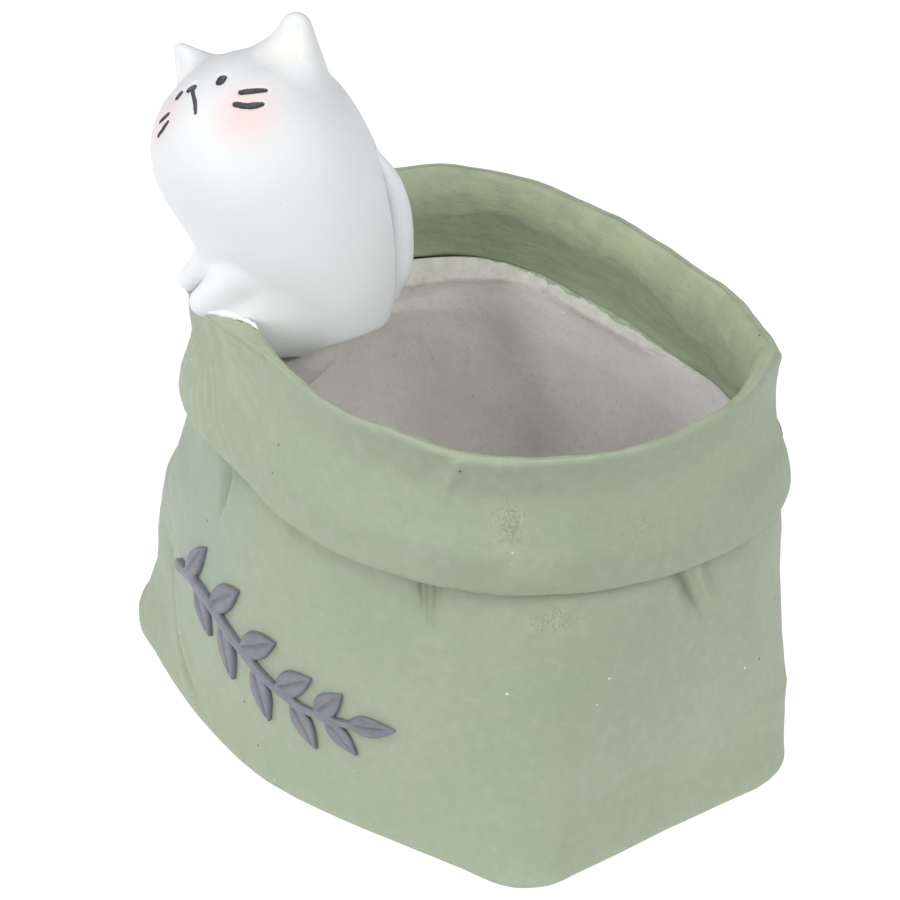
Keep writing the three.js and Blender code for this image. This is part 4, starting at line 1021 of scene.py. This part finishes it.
def cat_parts():
    def tail(P):
        return tail_field(P) + 0.04 * noise(P * np.array([1, 1, 0.4]), 2.4, 61) + 0.04 * noise(P, 1.1, 62) * smooth(-P[:, 2], -82, -75)
    T = np.array(TAIL)
    V, F = skin_of(tail, T.min(0) - 4, T.max(0) + 4, 0.22)
    # the tail is painted darker towards its lower end
    piece("cat_tail_skin", V, F, "pot", "white_paint", ["cat_tail"], {"blush": np.zeros(len(V)), "cream": np.zeros(len(V)), "shade_and_grime": 0.15 * smooth(-V[:, 2], -82, -75)})

    path = np.array([(41.8, 244.2, 78.1), (40.3, 247.0, 78.3), (38.5, 249.6, 78.4), (36.8, 252.0, 78.3), (35.6, 254.5, 78.1), (34.8, 257.5, 77.9), (34.7, 260.0, 77.7)])
    pts = polar(np.radians(path[:, 1]), path[:, 0], path[:, 2])
    rs = [0.40, 0.58, 0.52, 0.5, 0.36, 0.30, 0.12]

    def bead(P):
        d = np.full(len(P), 1e3)
        for i in range(len(pts) - 1):
            d = softmin(d, round_cone(P, pts[i], pts[i + 1], rs[i], rs[i + 1]), 0.5)
        return d + 0.16 * noise(P, 1.7, 63) + 0.08 * noise(P, 0.9, 64)
    V, F = skin_of(bead, pts.min(0) - 2.4, pts.max(0) + 2.4, 0.18)
    piece("cat_glue_bead_skin", V, F, "pot", "white_paint", ["cat_glue_bead"], {"blush": np.zeros(len(V)), "cream": np.full(len(V), 0.15), "shade_and_grime": np.zeros(len(V))})

    # grey pad that the rump sits in, with a little painted shade
    def pad(P):
        b = bean(P) + step_in(P) - 0.35
        arm = round_cone(P, (-17.5, -18.0, 66.0), (-24.5, -25.5, 53.0), 6.5, 5.0)
        return softmax(softmin(b, arm, 3.0) + 0.1 * noise(P, 5, 67), P[:, 2] - seat_line(P) + 0.1, 0.3)
    V, F = skin_of(pad, (-42, -42, 45), (6, 6, 73), 0.36)
    piece("seat_pad_skin", V, F, "pot", "grey_lining", ["inner_pot"], {"chalk": np.full(len(V), -1.0), "run": np.full(len(V), -2.0), "shade_and_grime": np.full(len(V), 0.12)})

    for key, (points, widths) in MARKS.items():
        def film(P, key=key):
            skin = cat_field(P)
            rag = 0.045 * noise(P, 0.9, 65) + 0.015 * noise(P, 0.4, 66)
            return softmax(mark_distance(P, key) + rag, np.abs(skin + 0.12) - 0.23, 0.08)
        V, F = skin_of(film, points.min(0) - 1.6, points.max(0) + 1.6, 0.10, 1)
        w = max(widths)
        pool = np.clip(-mark_distance(V, key) / w, 0, 1)
        piece(key + "_skin", V, F, "pot", "face_paint", [key], {"pool": smooth(pool, 0.35, 0.9)})


cat()
cat_parts()

# ---------------------------------------------------------------- leafy spray on the front
SPRIG_AT, SPRIG_Z, PER_DEGREE = 273.0, 25.0, 0.785
LEAVES = [(0.1, 48, 9.5, 4.6), (0.18, -46, 9.5, 4.6), (0.3, 50, 10.5, 5), (0.38, -48, 10.5, 5), (0.5, 50, 10.5, 5), (0.58, -48, 10, 4.8),
          (0.69, 48, 9.5, 4.6), (0.76, -47, 9, 4.4), (0.86, 46, 8, 4), (0.9, -46, 7.5, 3.8), (0.985, 2, 8, 3.6)]


def stem_at(t):
    return np.stack([-25 + 50 * t, -4.2 * np.sin((t - 0.5) * np.pi * 1.5)], -1)


def spray_plan(U):
    """Distance in the plane to the stem and the leaves, and the depth of the leaf veins."""
    stem = np.full(len(U), 1e3)
    ts = np.linspace(0, 1, 33)
    pts = stem_at(ts)
    for i in range(32):
        a, b = pts[i], pts[i + 1]
        ba = b - a
        k = np.clip((U - a) @ ba / (ba @ ba), 0, 1)
        stem = np.minimum(stem, np.linalg.norm(U - a - k[:, None] * ba, axis=1) - 1.05 * (1 - 0.45 * (ts[i] + (ts[i + 1] - ts[i]) * k)))
    leaves = np.full(len(U), 1e3)
    vein = np.zeros(len(U))
    for t, angle, length, width in LEAVES:
        foot = stem_at(np.array(t))
        d = stem_at(np.array(t + 0.01)) - stem_at(np.array(t - 0.01))
        turn = math.atan2(d[1], d[0]) + math.radians(angle)
        q = U - foot
        x = q[:, 0] * math.cos(turn) + q[:, 1] * math.sin(turn)
        y = -q[:, 0] * math.sin(turn) + q[:, 1] * math.cos(turn)
        k = np.clip(x / length, 0, 1)
        half = width / 2 * np.maximum(np.sin(np.pi * k ** 0.8), 0) ** 0.9
        over = np.maximum(np.maximum(-x, x - length), 0)
        leaf = np.where(over > 0, np.hypot(over, y), (np.abs(y) - half) * 0.86)
        vein = np.where(leaf < leaves, np.exp(-(y / 0.32) ** 2) * smooth(x, 0.5, 2) * (1 - smooth(x, length * 0.8, length)), vein)
        leaves = np.minimum(leaves, leaf)
    return stem, leaves, vein


def on_front(U, off):
    a = np.radians(SPRIG_AT + U[:, 0] / PER_DEGREE)
    z = SPRIG_Z + U[:, 1]
    r = skin_r(a, z) + off
    return np.stack([r * np.cos(a), r * np.sin(a), z], -1)


def spray():
    def field(P):
        stem, leaves, vein = spray_plan(P[:, :2])
        w = P[:, 2]
        lump = 0.10 * noise(P * np.array([1, 1, 0.0]), 3.0, 71)
        top_leaf = 1.05 - 0.38 * vein + lump
        top_stem = 1.30 + lump
        a = softmax(leaves, np.maximum(w - top_leaf, -0.4 - w), 0.75)
        b = softmax(stem, np.maximum(w - top_stem, -0.4 - w), 0.8)
        return softmin(a, b, 0.35)
    U, F = skin_of(field, (-28, -13, -0.9), (36, 13, 2.0), 0.20, 1)
    V = on_front(U[:, :2], U[:, 2])
    piece("front_sprig_skin", V, F, "pot", "relief_paint", ["front_sprig"], {"wear_and_highlight": smooth(U[:, 2], 0.75, 1.2)})


spray()


# ---------------------------------------------------------------- drain stopper
def stopper():
    prof = np.array([(1.2, 1.2), (4.0, 1.2), (4.6, 1.4), (4.95, 1.9), (5.0, 2.4), (4.95, 4.2), (5.0, 6.2), (4.98, 7.2), (5.05, 7.6), (8.3, 7.6), (8.8, 7.75), (9.0, 8.15),
                     (8.9, 8.7), (8.55, 9.15), (7.6, 9.5), (6.6, 9.6), (4.2, 9.65), (3.0, 9.8), (2.45, 10.2), (2.2, 10.9), (2.2, 11.8), (2.5, 12.5), (3.0, 13.1), (3.2, 13.7), (3.1, 14.4),
                     (2.7, 15.05), (2.0, 15.45), (1.0, 15.6), (0.9, 15.58)])
    a = np.arange(72) / 72 * TAU
    rings = [np.stack([DRAIN_X + r * np.cos(a), DRAIN_Y + r * np.sin(a), np.full_like(a, z)], -1) for r, z in prof]
    V = np.concatenate(rings + [np.array([[DRAIN_X, DRAIN_Y, 1.2], [DRAIN_X, DRAIN_Y, 15.58]])])
    m, n = len(prof), 72
    quads = []
    for i in range(m - 1):
        for j in range(n):
            quads.append((i * n + j, i * n + (j + 1) % n, (i + 1) * n + (j + 1) % n, (i + 1) * n + j))
    mesh_faces = [list(q) for q in quads]
    mesh_faces += [[m * n, (j + 1) % n, j] for j in range(n)]
    mesh_faces += [[m * n + 1, (m - 1) * n + j, (m - 1) * n + (j + 1) % n] for j in range(n)]
    mesh = bpy.data.meshes.new("drain_plug_skin")
    mesh.from_pydata((V * MM).tolist(), [], mesh_faces)
    mesh.polygons.foreach_set("use_smooth", np.ones(len(mesh_faces), bool))
    mesh.update()
    obj = bpy.data.objects.new("drain_plug_skin", mesh)
    bpy.context.scene.collection.objects.link(obj)
    obj.data.materials.append(MATERIALS["stopper_rubber"])
    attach(obj, "plug")
    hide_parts("drain_plug")


stopper()


# ---------------------------------------------------------------- floor, light and camera
def studio():
    mesh = bpy.data.meshes.new("floor")
    w = 3.0
    mesh.from_pydata([(-w, -w, -0.0001), (w, -w, -0.0001), (w, w, -0.0001), (-w, w, -0.0001)], [], [(0, 1, 2, 3)])
    floor = bpy.data.objects.new("floor", mesh)
    bpy.context.scene.collection.objects.link(floor)
    g = Graph("glowing_floor")
    # the floor glows white instead of reflecting, a painted backdrop that also lights the pot from below; the glow
    # fades towards the viewer, in front of the pot
    dot = g.tree.nodes.new("ShaderNodeVectorMath")
    dot.operation = "DOT_PRODUCT"
    g.put(dot.inputs[0], g.coord)
    dot.inputs[1].default_value = (-0.7895, 0.6137, 0.0)
    grain = g.maths("MULTIPLY", g.maths("SUBTRACT", g.noise(900, 3, 0.6), 0.5), 0.01)
    g.bsdf.inputs["Emission Color"].default_value = (1.0, 1.0, 1.0, 1.0)
    g.put(g.bsdf.inputs["Emission Strength"], g.maths("ADD", g.remap(dot.outputs["Value"], -0.070, -0.12, 1.03, 0.32), grain))
    floor.data.materials.append(g.finish((0.03, 0.03, 0.03), 0.9, 0.0))

    scene = bpy.context.scene
    world = bpy.data.worlds.new("studio")
    scene.world = world
    world.use_nodes = True
    back = world.node_tree.nodes["Background"]
    back.inputs[0].default_value = (1.0, 1.0, 1.0, 1.0)
    back.inputs[1].default_value = 0.28

    def area(name, at, to, size, power):
        lamp = bpy.data.lights.new(name, "AREA")
        lamp.shape = "DISK"
        lamp.size = size
        lamp.energy = power
        o = bpy.data.objects.new(name, lamp)
        at, to = Vector(at), Vector(to)
        o.matrix_world = Matrix.Translation(at) @ (at - to).to_track_quat("Z", "Y").to_matrix().to_4x4()
        scene.collection.objects.link(o)

    area("left", (-0.616, -0.734, 0.853), (0, 0, 0.05), 0.8, 5.6)
    area("right", (0.87, -0.153, 0.934), (0, 0, 0.05), 0.8, 5.0)
    area("end", (1.004, 0.406, 0.675), (0, 0, 0.05), 0.8, 3.8)
    area("low_right", (0.956, -0.747, 0.352), (0, 0, 0.05), 0.8, 1.9)
    area("low_front", (0.206, -1.171, 0.436), (0, 0, 0.05), 0.8, 6.0)

    cam = bpy.data.cameras.new("camera")
    cam.lens = 120.0
    cam.sensor_width = 36.0
    cam.sensor_fit = "HORIZONTAL"
    cam.clip_start = 0.01
    az, el, dist = math.radians(52.146), math.radians(28.293), 0.524626
    target = Vector((-0.001884, 0.002419, 0.045))
    off = Vector((math.sin(az) * math.cos(el), -math.cos(az) * math.cos(el), math.sin(el)))
    o = bpy.data.objects.new("camera", cam)
    o.matrix_world = Matrix.Translation(target + off * dist) @ off.to_track_quat("Z", "Y").to_matrix().to_4x4()
    scene.collection.objects.link(o)
    scene.camera = o
    scene.view_settings.view_transform = "Standard"


studio()
